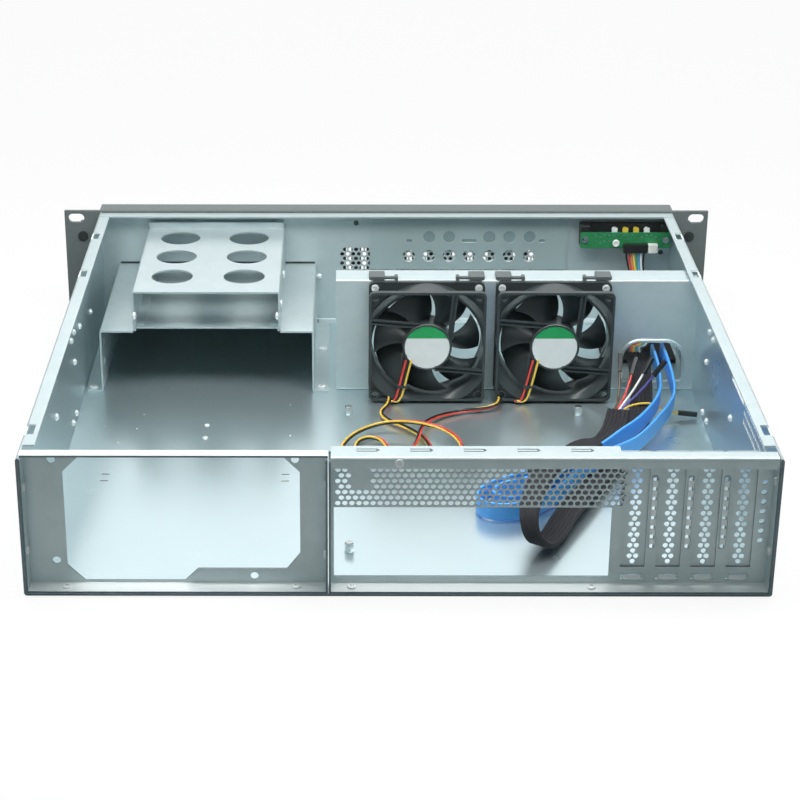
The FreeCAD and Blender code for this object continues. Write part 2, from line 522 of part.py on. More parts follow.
# Drive brackets: a hat section on the floor and a smaller one on its top
bay_blank = profile_pad("bay_blank", "XZ", [
    ("bay_left - bay_foot", "sheet"), ("bay_left + sheet", "sheet"),
    ("bay_left + sheet", f"{BAY_TOP} - sheet"),
    (f"{BAY_RIGHT} - sheet", f"{BAY_TOP} - sheet"), (f"{BAY_RIGHT} - sheet", "sheet"),
    (f"{BAY_RIGHT} + bay_foot", "sheet"), (f"{BAY_RIGHT} + bay_foot", "2 * sheet"), (BAY_RIGHT, "2 * sheet"),
    (BAY_RIGHT, BAY_TOP), ("bay_left", BAY_TOP), ("bay_left", "2 * sheet"),
    ("bay_left - bay_foot", "2 * sheet")],
    BAY_NEAR, "bay_depth")
DISK_RIGHT = f"({DISK_LEFT} + disk_width)"
bay_cuts = [slab("bay_notch", (f"{DISK_LEFT} + disk_foot", f"{DISK_RIGHT} - disk_foot"),
                 (BAY_NEAR, f"{BAY_NEAR} + bay_notch_depth"), (f"{BAY_TOP} - sheet", BAY_TOP)),
            slab("bay_foot_end", ("bay_left - bay_foot", f"{BAY_RIGHT} + bay_foot"),
                 ("tray_depth - front_flange", PANEL_IN), ("sheet", "2 * sheet"))]
for index, (x, rise) in enumerate((("bay_left", 0.35), ("bay_left", 0.65), (f"{BAY_RIGHT} - sheet", 0.35),
                                   (f"{BAY_RIGHT} - sheet", 0.65))):
    z = f"sheet + bay_height * {rise}"
    bay_cuts.append(slab(f"bay_slot_{index}", (x, f"{x} + sheet"), (f"{BAY_NEAR} + bay_slot_length",
                         f"{BAY_NEAR} + 2 * bay_slot_length"), (z, f"{z} + bay_slot_width")))
node(cut("bay_bracket", bay_blank, bay_cuts), "drive_bay_bracket")

disk_hat = profile_pad("disk_hat", "XZ", [
    (DISK_LEFT, BAY_TOP), (f"{DISK_LEFT} + disk_foot", BAY_TOP),
    (f"{DISK_LEFT} + disk_foot", f"{BAY_TOP} + sheet"),
    (f"{DISK_LEFT} + sheet", f"{BAY_TOP} + sheet"), (f"{DISK_LEFT} + sheet", f"{DISK_TOP} - sheet"),
    (f"{DISK_RIGHT} - sheet", f"{DISK_TOP} - sheet"), (f"{DISK_RIGHT} - sheet", f"{BAY_TOP} + sheet"),
    (f"{DISK_RIGHT} - disk_foot", f"{BAY_TOP} + sheet"), (f"{DISK_RIGHT} - disk_foot", BAY_TOP),
    (DISK_RIGHT, BAY_TOP), (DISK_RIGHT, DISK_TOP), (DISK_LEFT, DISK_TOP)], BAY_NEAR, "disk_depth")
disk_lip = slab("disk_end_lip", (DISK_LEFT, DISK_RIGHT),
                (f"{BAY_NEAR} + disk_depth - sheet", f"{BAY_NEAR} + disk_depth"),
                (DISK_TOP, f"{DISK_TOP} + disk_lip"))
disk_holes = []
for line in range(3):
    for side in "-+":
        disk_holes.append(rod(f"disk_hole_{line}{'a' if side == '-' else 'b'}", "z", (
            f"{DISK_LEFT} + disk_width / 2 {side} disk_hole_pitch_x / 2",
            f"{BAY_NEAR} + disk_hole_first + {line} * disk_hole_pitch_y", f"{DISK_TOP} - sheet"),
            "disk_hole_radius", "sheet", DISK_SIDES))
node(cut("disk_tray", joined("disk_blank", [disk_hat, disk_lip]), disk_holes), "disk_bracket")


# Fan wall with its cable arch
wall_blank = profile_pad("wall_blank", "YZ", [
    ("fan_wall_y", "sheet"), ("fan_wall_y + fan_wall_foot", "sheet"),
    ("fan_wall_y + fan_wall_foot", "2 * sheet"),
    ("fan_wall_y + sheet", "2 * sheet"), ("fan_wall_y + sheet", f"{FAN_WALL_TOP} - sheet"),
    ("fan_wall_y + fan_wall_flange", f"{FAN_WALL_TOP} - sheet"),
    ("fan_wall_y + fan_wall_flange", FAN_WALL_TOP),
    ("fan_wall_y", FAN_WALL_TOP)], FAN_WALL_LEFT, f"{WALL} - {FAN_WALL_LEFT}")
WALL_Y = ("fan_wall_y", "fan_wall_y + sheet")
ARCH_RIGHT = "(arch_left + arch_width)"
ARCH_TOP = "(arch_bottom + arch_height)"
arch_block = slab("arch_block", ("arch_left", ARCH_RIGHT), WALL_Y, ("arch_bottom", ARCH_TOP))
arch_top = number(ARCH_TOP)
arch = rounded("arch", arch_block, "arch_round", lambda edge: runs_along(edge, 1)
               and abs(edge.Vertexes[0].Point.z - arch_top) < 1e-6)
fan_places = {"left": "fan_left_x", "right": "(fan_left_x + fan_pitch_x)"}
wall_cuts = [arch]
for name, x in fan_places.items():
    wall_cuts.append(rod(f"wall_bore_{name}", "y", (x, "fan_wall_y", FAN_Z), "fan_bore_radius", "sheet",
                         WIDE_SIDES))
node(cut("partition", wall_blank, wall_cuts), "fan_wall")


# Fans: square frame with an open venturi, pinwheel struts, hub and a seven-bladed rotor
def round_block(radius, height):
    """A prism of many sides about the z axis."""
    corners = [FreeCAD.Vector(radius * math.cos(angle), radius * math.sin(angle), 0)
               for angle in (math.tau * side / WIDE_SIDES for side in range(WIDE_SIDES))]
    return Part.Face(Part.makePolygon(corners + corners[:1])).extrude(FreeCAD.Vector(0, 0, height))


def blade(turn_deg):
    """One blade, a plate bent along its middle and cut off at the tip circle, turned about the z axis."""
    span, rise, camber = number("blade_span"), number("blade_rise"), number("blade_camber")
    thick, tip = number("blade_sheet"), number("fan_bore_radius - rotor_tip_gap")
    depth = number("rotor_depth")
    lead, trail = (-span / 2, (depth - rise) / 2), (span / 2, (depth + rise) / 2)
    away = FreeCAD.Vector(0, -rise, span).normalize()
    low, high = (FreeCAD.Vector(0, *point) for point in (lead, trail))
    middle = (low + high) / 2 + away * camber
    lift = away * thick
    outline = [low, middle, high, high + lift, middle + lift, low + lift, low]
    plate = Part.Face(Part.makePolygon(outline)).extrude(FreeCAD.Vector(tip + thick, 0, 0))
    plate = plate.common(round_block(tip, depth))
    plate.rotate(FreeCAD.Vector(), FreeCAD.Vector(0, 0, 1), turn_deg)
    return plate


for name, x in fan_places.items():
    half = "fan_size / 2"
    square = ((f"{x} - {half}", f"{x} + {half}"), (f"{FAN_Z} - {half}", f"{FAN_Z} + {half}"))
    rear_flange = slab(f"fan_{name}_rear", square[0], (FAN_REAR, f"{FAN_REAR} + fan_flange"), square[1])
    front_flange = slab(f"fan_{name}_front", square[0], ("fan_wall_y - fan_flange", "fan_wall_y"), square[1])
    venturi = rod(f"fan_{name}_venturi", "y", (x, FAN_REAR, FAN_Z), "fan_bore_radius + fan_ring", "fan_depth",
                  WIDE_SIDES)
    shell = joined(f"fan_{name}_shell", [rear_flange, front_flange, venturi])
    bores = [rod(f"fan_{name}_bore", "y", (x, FAN_REAR, FAN_Z), "fan_bore_radius", "fan_depth", WIDE_SIDES)]
    for index, (side, rise) in enumerate((("-", "-"), ("-", "+"), ("+", "-"), ("+", "+"))):
        bores.append(rod(f"fan_{name}_hole_{index}", "y", (f"{x} {side} fan_hole_pitch / 2", FAN_REAR,
                         f"{FAN_Z} {rise} fan_hole_pitch / 2"), "fan_hole_radius", "fan_flange", HEAD_SIDES))
    opened = cut(f"fan_{name}_opened", shell, bores)
    hub = rod(f"fan_{name}_hub", "y", (x, FAN_REAR, FAN_Z), "fan_hub_radius", "fan_hub_depth", WIDE_SIDES)
    spider = [opened, hub]
    inner, outer = "fan_hub_radius - fan_strut_width", "fan_bore_radius + fan_ring / 2"
    strut_y = (FAN_REAR, f"{FAN_REAR} + fan_strut_depth")
    spider.append(slab(f"fan_{name}_strut_left", (f"{x} - {outer}", x), strut_y,
                       (f"{FAN_Z} + {inner}", f"{FAN_Z} + fan_hub_radius")))
    spider.append(slab(f"fan_{name}_strut_top", (f"{x} + {inner}", f"{x} + fan_hub_radius"), strut_y,
                       (FAN_Z, f"{FAN_Z} + {outer}")))
    spider.append(slab(f"fan_{name}_strut_right", (x, f"{x} + {outer}"), strut_y,
                       (f"{FAN_Z} - fan_hub_radius", f"{FAN_Z} - ({inner})")))
    spider.append(slab(f"fan_{name}_strut_bottom", (f"{x} - fan_hub_radius", f"{x} - ({inner})"), strut_y,
                       (f"{FAN_Z} - ({outer})", FAN_Z)))
    bearing = rod(f"fan_{name}_bearing", "y", (x, f"{FAN_REAR} + fan_hub_depth - shaft_length - seam", FAN_Z),
                  "shaft_radius + seam", "shaft_length + seam", HOLE_SIDES)
    node(cut(f"fan_{name}_body", joined(f"fan_{name}_spider", spider), [bearing]), f"fan_{name}_frame")

    rotor_y = f"{FAN_REAR} + fan_hub_depth + rotor_gap"
    boss = rod(f"fan_{name}_boss", "y", (x, rotor_y, FAN_Z), "rotor_hub_radius", "rotor_depth", WIDE_SIDES)
    shaft = rod(f"fan_{name}_shaft", "y", (x, f"{rotor_y} - shaft_length", FAN_Z), "shaft_radius",
                "shaft_length + sheet", HOLE_SIDES)
    blades = doc.addObject("Part::Feature", f"fan_{name}_blades")
    blades.Shape = Part.makeCompound([blade(360 * index / BLADE_COUNT) for index in range(BLADE_COUNT)])
    blades.Placement = FreeCAD.Placement(FreeCAD.Vector(), FreeCAD.Rotation(FreeCAD.Vector(1, 0, 0), -90))
    place(blades, x, rotor_y, FAN_Z)
    node(joined(f"fan_{name}_wheel", [boss, shaft, blades]), f"fan_{name}_rotor")

clips, fan_screws = [], []
for name, x in fan_places.items():
    for side, start in (("a", f"{x} - fan_size / 2"), ("b", f"{x} + fan_size / 2 - clip_width")):
        clips.append(slab(f"clip_{name}_{side}", (start, f"{start} + clip_width"),
                          ("fan_wall_y", "fan_wall_y + clip_depth"),
                          (FAN_WALL_TOP, f"{FAN_WALL_TOP} + clip_height")))
    for side in "-+":
        fan_screws.append(rod(f"fan_screw_{name}_{'a' if side == '-' else 'b'}", "y", (
            f"{x} {side} fan_hole_pitch / 2", "fan_wall_y - fan_flange - screw_head",
            f"{FAN_Z} + fan_hole_pitch / 2"), "screw_radius", "screw_head", HEAD_SIDES))
node(group("clip_set", clips), "fan_clips")
node(group("fan_screw_set", fan_screws), "fan_screws")


# Indicator board behind the front panel
BOARD_RIGHT = "(board_left + board_width)"
BOARD_TOP = f"({BOARD_BOTTOM} + board_height)"
BOARD_FACE = f"({BOARD_Y} + board_thick)"
node(slab("circuit_board", ("board_left", BOARD_RIGHT), (BOARD_Y, BOARD_FACE), (BOARD_BOTTOM, BOARD_TOP)),
     "led_board")
holder_block = slab("holder_block", ("board_left", BOARD_RIGHT), (BOARD_FACE, PANEL_IN),
                    (BOARD_BOTTOM, f"{BOARD_TOP} + holder_rise"))
holder_gap = slab("holder_gap", ("board_left + holder_post", f"{BOARD_RIGHT} - holder_post"),
                  (BOARD_FACE, f"{PANEL_IN} - holder_back"), (BOARD_BOTTOM, f"{BOARD_TOP} + holder_rise"))
node(cut("holder", holder_block, [holder_gap]), "led_holder")
leds = []
for index in range(LED_COUNT):
    x = f"led_first + {index} * led_pitch"
    leds.append(slab(f"led_{index}", (f"{x} - led_size / 2", f"{x} + led_size / 2"),
                     (BOARD_FACE, f"{BOARD_FACE} + led_depth"),
                     (f"{BOARD_TOP} - led_size / 4", f"{BOARD_TOP} + led_size * 3 / 4")))
node(group("led_row", leds), "status_leds")
header_y = (f"{BOARD_Y} - header_depth", BOARD_Y)
header_z = (f"{BOARD_BOTTOM} - 2 * sheet", f"{BOARD_BOTTOM} - 2 * sheet + header_height")
header = slab("pin_header", ("header_left", "header_left + header_width"), header_y, header_z)
SOCKET_LEFT = "(header_left + header_width + seam)"
socket = slab("wire_socket", (SOCKET_LEFT, f"{SOCKET_LEFT} + socket_width"), header_y, header_z)
buzzer = rod("buzzer", "y", ("buzzer_x", f"{BOARD_Y} - buzzer_depth", f"{BOARD_BOTTOM} + board_height / 3"),
             "buzzer_radius", "buzzer_depth", HOLE_SIDES)
node(header, "pin_header")
node(group("board_part_set", [socket, buzzer]), "board_parts")
board_screws = []
for index, x in enumerate(("board_left + holder_post / 2", f"{BOARD_RIGHT} - holder_post / 2")):
    start = (x, f"{BOARD_Y} - screw_head", f"{BOARD_BOTTOM} + board_height * 0.55")
    board_screws.append(rod(f"board_screw_{index}", "y", start, "screw_radius", "screw_head", HEAD_SIDES))
node(group("board_screw_set", board_screws), "board_screws")


# Fasteners of the rear pans and the mainboard standoffs
screws = []
PAN_MID = "((pan_edge + pan_recess) / 2)"
for index, (x, z) in enumerate(((f"-{WALL} + sheet", 0.76), (f"-{WALL} + sheet", 0.3),
                                ("pan_split - seam - sheet - screw_head", 0.78),
                                ("pan_split - seam - sheet - screw_head", 0.27),
                                (f"{WALL} - sheet - screw_head", 0.81),
                                (f"{WALL} - sheet - screw_head", 0.3))):
    screws.append(rod(f"pan_side_screw_{index}", "x", (x, PAN_MID, f"{z} * body_height"), "screw_radius",
                      "screw_head", HEAD_SIDES))
for index, x in enumerate(("psu_open_left", "psu_hole_left + psu_pitch_high", "io_left + screw_radius * 4",
                           "io_left + io_width - screw_radius * 4")):
    screws.append(rod(f"pan_floor_screw_{index}", "z", (x, PAN_MID, "2 * sheet"), "screw_radius",
                      "screw_head", HEAD_SIDES))
screws.append(rod("rail_screw", "y", ("0", "rail_edge - screw_head", "body_height - rail_lip / 2"),
                  "screw_radius", "screw_head", HEAD_SIDES))
node(group("pan_screw_set", screws), "pan_screws")
standoffs = []
for index, (column, line) in enumerate(((0, 0), (0, 1), (1, 1))):
    post = doc.addObject("Part::Prism", f"standoff_{index}")
    post.Polygon = 6
    post.setExpression("Circumradius", linked("standoff_radius"))
    post.setExpression("Height", linked("standoff_height"))
    place(post, f"standoff_x + {column} * standoff_pitch_x", f"standoff_rear + {line} * standoff_pitch_y",
          "sheet")
    standoffs.append(post)
node(group("standoff_set", standoffs), "board_standoffs")


# Cables: straight runs joined by tangent arcs, each arc as large as its runs allow
BEND_SHARE = 0.45


def route_wire(points):
    """The path through the points, the arc radii and the length of the path."""
    spots = [FreeCAD.Vector(x, number(shifted(str(y))), z) for x, y, z in points]
    edges, radii, here = [], [], spots[0]
    for before, corner, after in zip(spots, spots[1:], spots[2:]):
        back, on = before - corner, after - corner
        turn = math.pi - back.getAngle(on)
        reach = BEND_SHARE * min(back.Length, on.Length)
        radius = reach / math.tan(turn / 2)
        start = corner + FreeCAD.Vector(back).normalize() * reach
        end = corner + FreeCAD.Vector(on).normalize() * reach
        bisector = (FreeCAD.Vector(back).normalize() + FreeCAD.Vector(on).normalize()).normalize()
        middle = corner + bisector * (radius / math.cos(turn / 2) - radius)
        edges.append(Part.makeLine(here, start))
        edges.append(Part.Arc(start, middle, end).toShape())
        radii.append(radius)
        here = end
    edges.append(Part.makeLine(here, spots[-1]))
    return Part.Wire(edges), radii


def cord(label, points, section, flat_up):
    """A cable whose section is a list of (across, side) corners; across starts along flat_up."""
    path, radii = route_wire(points)
    start = FreeCAD.Vector(path.Edges[0].Vertexes[0].Point)
    ahead = (FreeCAD.Vector(path.Edges[0].Vertexes[1].Point) - start).normalize()
    side = ahead.cross(FreeCAD.Vector(*flat_up)).normalize()
    across = side.cross(ahead).normalize()
    corners = [start + across * a + side * b for a, b in section + section[:1]]
    outline = Part.makePolygon(corners)
    item = doc.addObject("Part::Feature", label + "_tube")
    item.Shape = path.makePipeShell([outline], True, False)
    share = item.Shape.Volume / (Part.Face(outline).Area * path.Length)
    print(f"{label}: length {path.Length:.0f}, tightest radius {min(radii):.1f}, volume share {share:.3f}")
    return node(item, label)


def flat(width, thick):
    """The section of a flat cable."""
    a, b = width / 2, thick / 2
    return [(a, b), (-a, b), (-a, -b), (a, -b)]


def bundle(size):
    """The three-sided section of a few wires that lie together."""
    return [(size * math.cos(angle), size * math.sin(angle)) for angle in (0, math.tau / 3, 2 * math.tau / 3)]


def plug(name, points, width, thick, length):
    """A block that carries on a cable from the end of its route; thick is its upright side."""
    end = FreeCAD.Vector(points[-1][0], number(shifted(str(points[-1][1]))), points[-1][2])
    aim = FreeCAD.Vector(*(b - a for a, b in zip(points[-2], points[-1])))
    up = FreeCAD.Vector(0, 0, 1)
    item = doc.addObject("Part::Feature", name)
    item.Shape = Part.makeBox(width, thick, length, FreeCAD.Vector(-width / 2, -thick / 2, 0))
    item.Placement = FreeCAD.Placement(end, FreeCAD.Rotation(up.cross(aim), up, aim, "ZYX"))
    return item


lead_left = [(0, 275.5, 5.5), (0, 265, 5.5), (-7, 254, 4.4), (-2, 241, 4), (12, 229, 4), (23, 212, 4),
             (27, 191, 4), (34, 179.5, 4.6), (45, 182, 6), (47, 195, 8), (38, 210, 10.4), (20, 221, 11.6),
             (-4, 226, 10), (-24, 217, 6), (-33, 199, 4.2), (-35, 182, 4)]
lead_right = [(76.5, 275.5, 5.5), (76.5, 266, 5.5), (66, 260, 4.6), (51, 258, 4), (35, 250, 4),
              (25, 236, 5.8), (20, 219, 7.4), (18, 203, 7), (14, 190, 6), (4, 186, 5), (-3, 196, 4.6),
              (-6, 208, 4.4), (-14, 214, 4.2), (-22, 208, 4), (-24, 196, 4), (-25, 184, 4)]
loom = [(176, 319, 21), (176, 301, 21), (175, 276, 13), (171, 246, 6.4), (160, 209, 5.4), (142, 168, 6),
        (127, 135, 8), (113, 105, 9), (103, 84, 8.5), (94, 62, 6.5), (86, 48, 8), (79, 44.5, 18),
        (78.5, 52, 28), (84, 78, 31), (92, 106, 29), (109, 134, 28), (125, 161, 23.5), (138.5, 186, 12),
        (147, 208, 10.5), (151.5, 227, 9), (155.5, 246, 8.5)]
flat_outer = [(193, 316, 26), (193, 299, 27), (195, 277, 21), (195, 255, 15), (187, 232, 14.5),
              (174, 205, 14.8), (158.5, 174, 16), (138, 154, 17.4), (118, 137, 16), (105, 118, 9),
              (85, 98, 8), (64, 91, 8), (50, 101, 8), (54, 119, 8), (68, 131, 8), (85, 141, 8)]
flat_inner = [(186.5, 316, 24), (186.5, 299, 25), (187, 277, 20), (184.5, 253, 16), (175, 228, 16),
              (162, 202, 17), (149.5, 184, 18), (140.5, 171, 17.5), (127, 157, 15), (113, 141, 11),
              (100, 125, 8), (84, 107, 8), (69, 102, 8), (60, 111, 8), (66, 123, 8), (78, 129, 8),
              (90, 134, 8)]
ribbon = [(186, 421.5, 61.6), (186, 421.5, 53), (189.5, 417, 41), (195, 405, 26), (192, 380, 13),
          (184, 353, 13), (176, 335, 21), (176, 319, 21)]
wires = {
    "brown": [(152.65, 246.85, 8.5), (156, 255.5, 9), (158, 265.5, 15), (159, 275, 26)],
    "red": [(154.1, 246.55, 8.5), (157.8, 255.6, 9), (163, 264.5, 15), (167, 273, 24.5)],
    "white": [(155.55, 246.25, 8.5), (159, 255, 9.5), (167, 262, 16.5), (174, 268, 27)],
    "purple": [(157.05, 245.95, 8.5), (160.5, 254, 9.5), (171, 258, 17), (180, 260, 29)],
    "yellow": [(158.5, 246, 8.6), (161.6, 252.5, 9.9), (178.5, 253, 12.4), (185.5, 252, 7.8),
               (191, 251, 6), (197, 251, 5.4)],
}
for lead, points in (("fan_lead_left", lead_left), ("fan_lead_right", lead_right)):
    cord(lead, points, bundle(number("lead_size") / 2), (0, 0, 1))
cord("panel_loom", loom, flat(number("loom_width"), number("loom_thick")), (1, 0, 0))
for place_name, points in (("outer", flat_outer), ("inner", flat_inner)):
    cord(f"blue_cable_{place_name}", points, flat(number("flat_width"), number("flat_thick")), (0, 0, 1))
cord("panel_ribbon", ribbon, flat(number("ribbon_width"), number("ribbon_thick")), (1, 0, 0))
for colour, points in wires.items():
    cord(f"wire_{colour}", points, bundle(number("wire_size") / 2), (0, 0, 1))

node(group("fan_plug_pair", [
    plug(f"fan_plug_{index}", points, number("fan_plug_width"), number("fan_plug_height"),
         number("fan_plug_length"))
    for index, points in enumerate((lead_left, lead_right))]), "fan_plugs")
node(group("flat_plug_pair", [
    plug(f"flat_plug_{index}", points, number("flat_plug_width"), number("flat_plug_height"),
         number("flat_plug_length"))
    for index, points in enumerate((flat_outer, flat_inner))]), "cable_plugs")
node(group("housing_set", [
    plug(f"housing_{colour}", points, number("housing_size"), number("housing_size"),
         number("housing_length"))
    for colour, points in wires.items()]), "wire_housings")


# Check every object, then write one file for each sub-part
doc.recompute()
for item in doc.Objects:
    if {"Invalid", "Error"} & set(item.State):
        raise RuntimeError(f"{item.Label} failed: {item.State}")
os.makedirs("parts", exist_ok=True)
for item in nodes:
    shape = item.Shape
    if shape.isNull() or not shape.isValid() or not shape.Solids:
        raise RuntimeError(f"{item.Label} has no valid solid")
for item in nodes:
    item.Shape.exportStep(f"parts/{item.Label}.step")
print(f"{len(nodes)} sub-parts written")
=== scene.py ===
"""Looks of an open 2U rackmount server chassis: sheet steel, fans, indicator board and cables.

Lengths are millimetres with y counted from the rear edge, as on the bench. They turn into the frame's
metres when a piece is made.
"""
import bisect
import logging
import math
from dataclasses import dataclass, field
from enum import Enum
from typing import Callable, Sequence

import bmesh
import bpy
import numpy as np
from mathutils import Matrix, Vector
from mathutils.geometry import delaunay_2d_cdt


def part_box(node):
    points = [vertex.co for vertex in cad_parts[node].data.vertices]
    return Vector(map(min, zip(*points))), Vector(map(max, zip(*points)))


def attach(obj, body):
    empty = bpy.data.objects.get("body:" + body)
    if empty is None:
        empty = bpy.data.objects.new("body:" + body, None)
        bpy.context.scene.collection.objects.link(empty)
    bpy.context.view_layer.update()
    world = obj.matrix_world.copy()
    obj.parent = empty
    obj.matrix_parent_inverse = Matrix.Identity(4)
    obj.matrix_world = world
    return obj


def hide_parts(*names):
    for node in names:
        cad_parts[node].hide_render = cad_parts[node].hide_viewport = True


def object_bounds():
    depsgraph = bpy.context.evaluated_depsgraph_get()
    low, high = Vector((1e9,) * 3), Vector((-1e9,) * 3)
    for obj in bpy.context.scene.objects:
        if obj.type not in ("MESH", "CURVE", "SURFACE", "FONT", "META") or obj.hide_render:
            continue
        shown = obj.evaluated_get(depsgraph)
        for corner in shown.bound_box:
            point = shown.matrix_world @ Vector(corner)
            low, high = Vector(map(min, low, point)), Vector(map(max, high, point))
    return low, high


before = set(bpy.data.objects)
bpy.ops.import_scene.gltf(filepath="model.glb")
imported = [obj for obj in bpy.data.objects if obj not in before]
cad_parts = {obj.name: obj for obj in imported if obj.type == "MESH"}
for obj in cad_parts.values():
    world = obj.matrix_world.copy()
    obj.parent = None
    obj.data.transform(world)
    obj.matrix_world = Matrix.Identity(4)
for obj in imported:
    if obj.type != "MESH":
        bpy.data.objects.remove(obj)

LOG = logging.getLogger("rack_chassis")
MM = 0.001
CAD_LOW, CAD_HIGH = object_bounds()
REAR_EDGE = CAD_LOW.y
CHASSIS = "chassis"
UP = Vector((0, 0, 1))
TO_REAR = Vector((0, -1, 0))
TO_FRONT = Vector((0, 1, 0))
SHEET = 1.2
SMOOTH_ANGLE = math.radians(34)
BEVEL_ANGLE = math.radians(40)
CUT_TOLERANCE = 1e-6
HEAD_SIDES = 20

# The record's material slots that several pieces share.
SLOT_SHEET = "galvanised_steel"
SLOT_BRIGHT = "bright_steel"
SLOT_BLACK = "black_plastic"
SLOT_WHITE = "white_plastic"

# The mix node's sockets that carry colours: both inputs and the output.
MIX_FIRST = 6
MIX_SECOND = 7
MIX_RESULT = 2

Pair = tuple[float, float]
Triple = tuple[float, float, float]
Box = tuple[float, float, float, float]
Loop = list[Pair]
Lay = Callable[[float, float, float], Vector]


def level(x: float, y: float, z: float) -> Vector:
    """A point of a level plane, at a height."""
    return Vector((x, y, z))


def upright(x: float, z: float, y: float) -> Vector:
    """A point of an upright plane across the case, at a distance from the rear."""
    return Vector((x, y, z))


def to_row(point: Vector) -> Vector:
    """The frame's metres for a point in millimetres from the rear edge."""
    return Vector((point.x * MM, point.y * MM + REAR_EDGE, point.z * MM))


def node_box(name: str) -> tuple[Vector, Vector]:
    """The lowest and highest corner of a CAD node, in millimetres from the rear edge.

    Args:
        name: the CAD node.

    Returns:
        Its two corners.
    """
    shift = Vector((0, REAR_EDGE, 0))
    return tuple((corner - shift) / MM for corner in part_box(name))


def islands(name: str) -> list[tuple[Vector, Vector]]:
    """The boxes of the separate solids of one CAD node.

    Args:
        name: the CAD node.

    Returns:
        A lowest and highest corner for each solid, from left to right.
    """
    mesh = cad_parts[name].data
    keys = [tuple(round(value / MM, 3) for value in vertex.co) for vertex in mesh.vertices]
    owner = {key: key for key in keys}

    def root(key: tuple[float, ...]) -> tuple[float, ...]:
        """The point that stands for a solid."""
        while owner[key] != key:
            key = owner[key]
        return key

    for face in mesh.polygons:
        first = root(keys[face.vertices[0]])
        for corner in face.vertices[1:]:
            owner[root(keys[corner])] = first
    found: dict[tuple[float, ...], list[tuple[float, ...]]] = {}
    for key in owner:
        found.setdefault(root(key), []).append(key)
    shift = Vector((0, REAR_EDGE / MM, 0))
    boxes = [(Vector(np.min(keys, axis=0)) - shift, Vector(np.max(keys, axis=0)) - shift)
             for keys in found.values()]
    return sorted(boxes, key=lambda box: (round(box[0].x, 2), box[0].y, box[0].z))


# Finishes

def linear(code: str) -> tuple[float, float, float, float]:
    """Linear RGBA for an sRGB hex colour."""
    parts = [int(code[place:place + 2], 16) / 255 for place in (1, 3, 5)]
    return (*((c / 12.92 if c <= 0.04045 else ((c + 0.055) / 1.055) ** 2.4) for c in parts), 1.0)


def add_node(tree: bpy.types.NodeTree, kind: str, inputs: dict | None = None, **settings) -> bpy.types.Node:
    """Add a node with its settings, and give its sockets values or links.

    Args:
        tree: the tree that takes the node.
        kind: the node's type name.
        inputs: for each socket name or number, a value or an output socket to link.
        settings: attributes of the node.

    Returns:
        The node.
    """
    made = tree.nodes.new(kind)
    for key, value in settings.items():
        setattr(made, key, value)
    for key, value in (inputs or {}).items():
        if isinstance(value, bpy.types.NodeSocket):
            tree.links.new(value, made.inputs[key])
        else:
            made.inputs[key].default_value = value
    return made


class Grain(Enum):
    """The texture that breaks a surface up, with the output it is read from."""
    CLOUDS = ("ShaderNodeTexNoise", "Fac")
    SPANGLE = ("ShaderNodeTexVoronoi", "Color")


@dataclass(frozen=True)
class Finish:
    """One surface: colour, shine, and the pattern and relief that the eye picks up on it."""
    name: str
    colour: str
    shade: str
    roughness: float
    spread: float = 0.06
    metallic: float = 0.0
    coat: float = 0.0
    shine: float = 0.5
    grain: Grain = Grain.CLOUDS
    grain_mm: float = 4.0
    relief_mm: float = 0.01
    relief_grain_mm: float = 0.8

    def material(self) -> bpy.types.Material:
        """The finish as a material, made once."""
        return bpy.data.materials.get(self.name) or self.make()

    def make(self) -> bpy.types.Material:
        """Build the material's nodes.

        Returns:
            The new material.
        """
        made = bpy.data.materials.new(self.name)
        made.use_nodes = True
        tree = made.node_tree
        shader = tree.nodes["Principled BSDF"]
        place = add_node(tree, "ShaderNodeTexCoord").outputs["Object"]
        kind, output = self.grain.value
        pattern = add_node(tree, kind, {"Vector": place, "Scale": 1 / (self.grain_mm * MM)}).outputs[output]
        tint = add_node(tree, "ShaderNodeMix", {
            0: pattern, MIX_FIRST: linear(self.colour), MIX_SECOND: linear(self.shade)}, data_type="RGBA")
        fine = add_node(tree, "ShaderNodeTexNoise",
                        {"Vector": place, "Scale": 1 / (self.relief_grain_mm * MM), "Detail": 3.0})
        gloss = add_node(tree, "ShaderNodeMapRange", {
            "Value": pattern, "To Min": self.roughness - self.spread, "To Max": self.roughness + self.spread})
        bump = add_node(tree, "ShaderNodeBump", {
            "Height": fine.outputs["Fac"], "Distance": self.relief_mm * MM, "Strength": 1.0})
        tree.links.new(tint.outputs[MIX_RESULT], shader.inputs["Base Color"])
        tree.links.new(gloss.outputs["Result"], shader.inputs["Roughness"])
        tree.links.new(bump.outputs["Normal"], shader.inputs["Normal"])
        shader.inputs["Metallic"].default_value = self.metallic
        shader.inputs["Coat Weight"].default_value = self.coat
        shader.inputs["Specular IOR Level"].default_value = self.shine
        return made


# Hot-dip zinc on rolled sheet: satin grey-green that scatters most light, with faint 9 mm crystals.
STEEL = Finish("galvanised_sheet_steel", "#C4D2D4", "#BECDCF", 0.34, 0.02, 0.5, grain=Grain.SPANGLE,
               grain_mm=9, relief_mm=0.004, relief_grain_mm=1.5)
# Skin-passed zinc of the tray, rolled smoother than the rest, so that its floor mirrors what stands on it.
SKIN_PASSED = Finish("skin_passed_galvanised_steel", "#D2E4E7", "#CDDFE3", 0.28, 0.015, 0.84, grain_mm=40,
                     relief_mm=0.0004, relief_grain_mm=4)
# The same sheet on its cut edges: bare and rough, its colour darkened as painted shade for the dark lines
# along edges and in hole walls.
EDGE_PAINTED_SHADE = Finish("steel_edge_painted_shade", "#7E8D91", "#6F7E82", 0.5, 0.06, 0.6, grain_mm=2)
# Electroplated zinc on a small flat plate: a shade greener and tighter than the dipped sheet.
ZINC_PLATE = Finish("electro_galvanised_plate", "#C0D2D2", "#BACCCD", 0.33, 0.02, 0.58, grain_mm=14,
                    relief_mm=0.003)
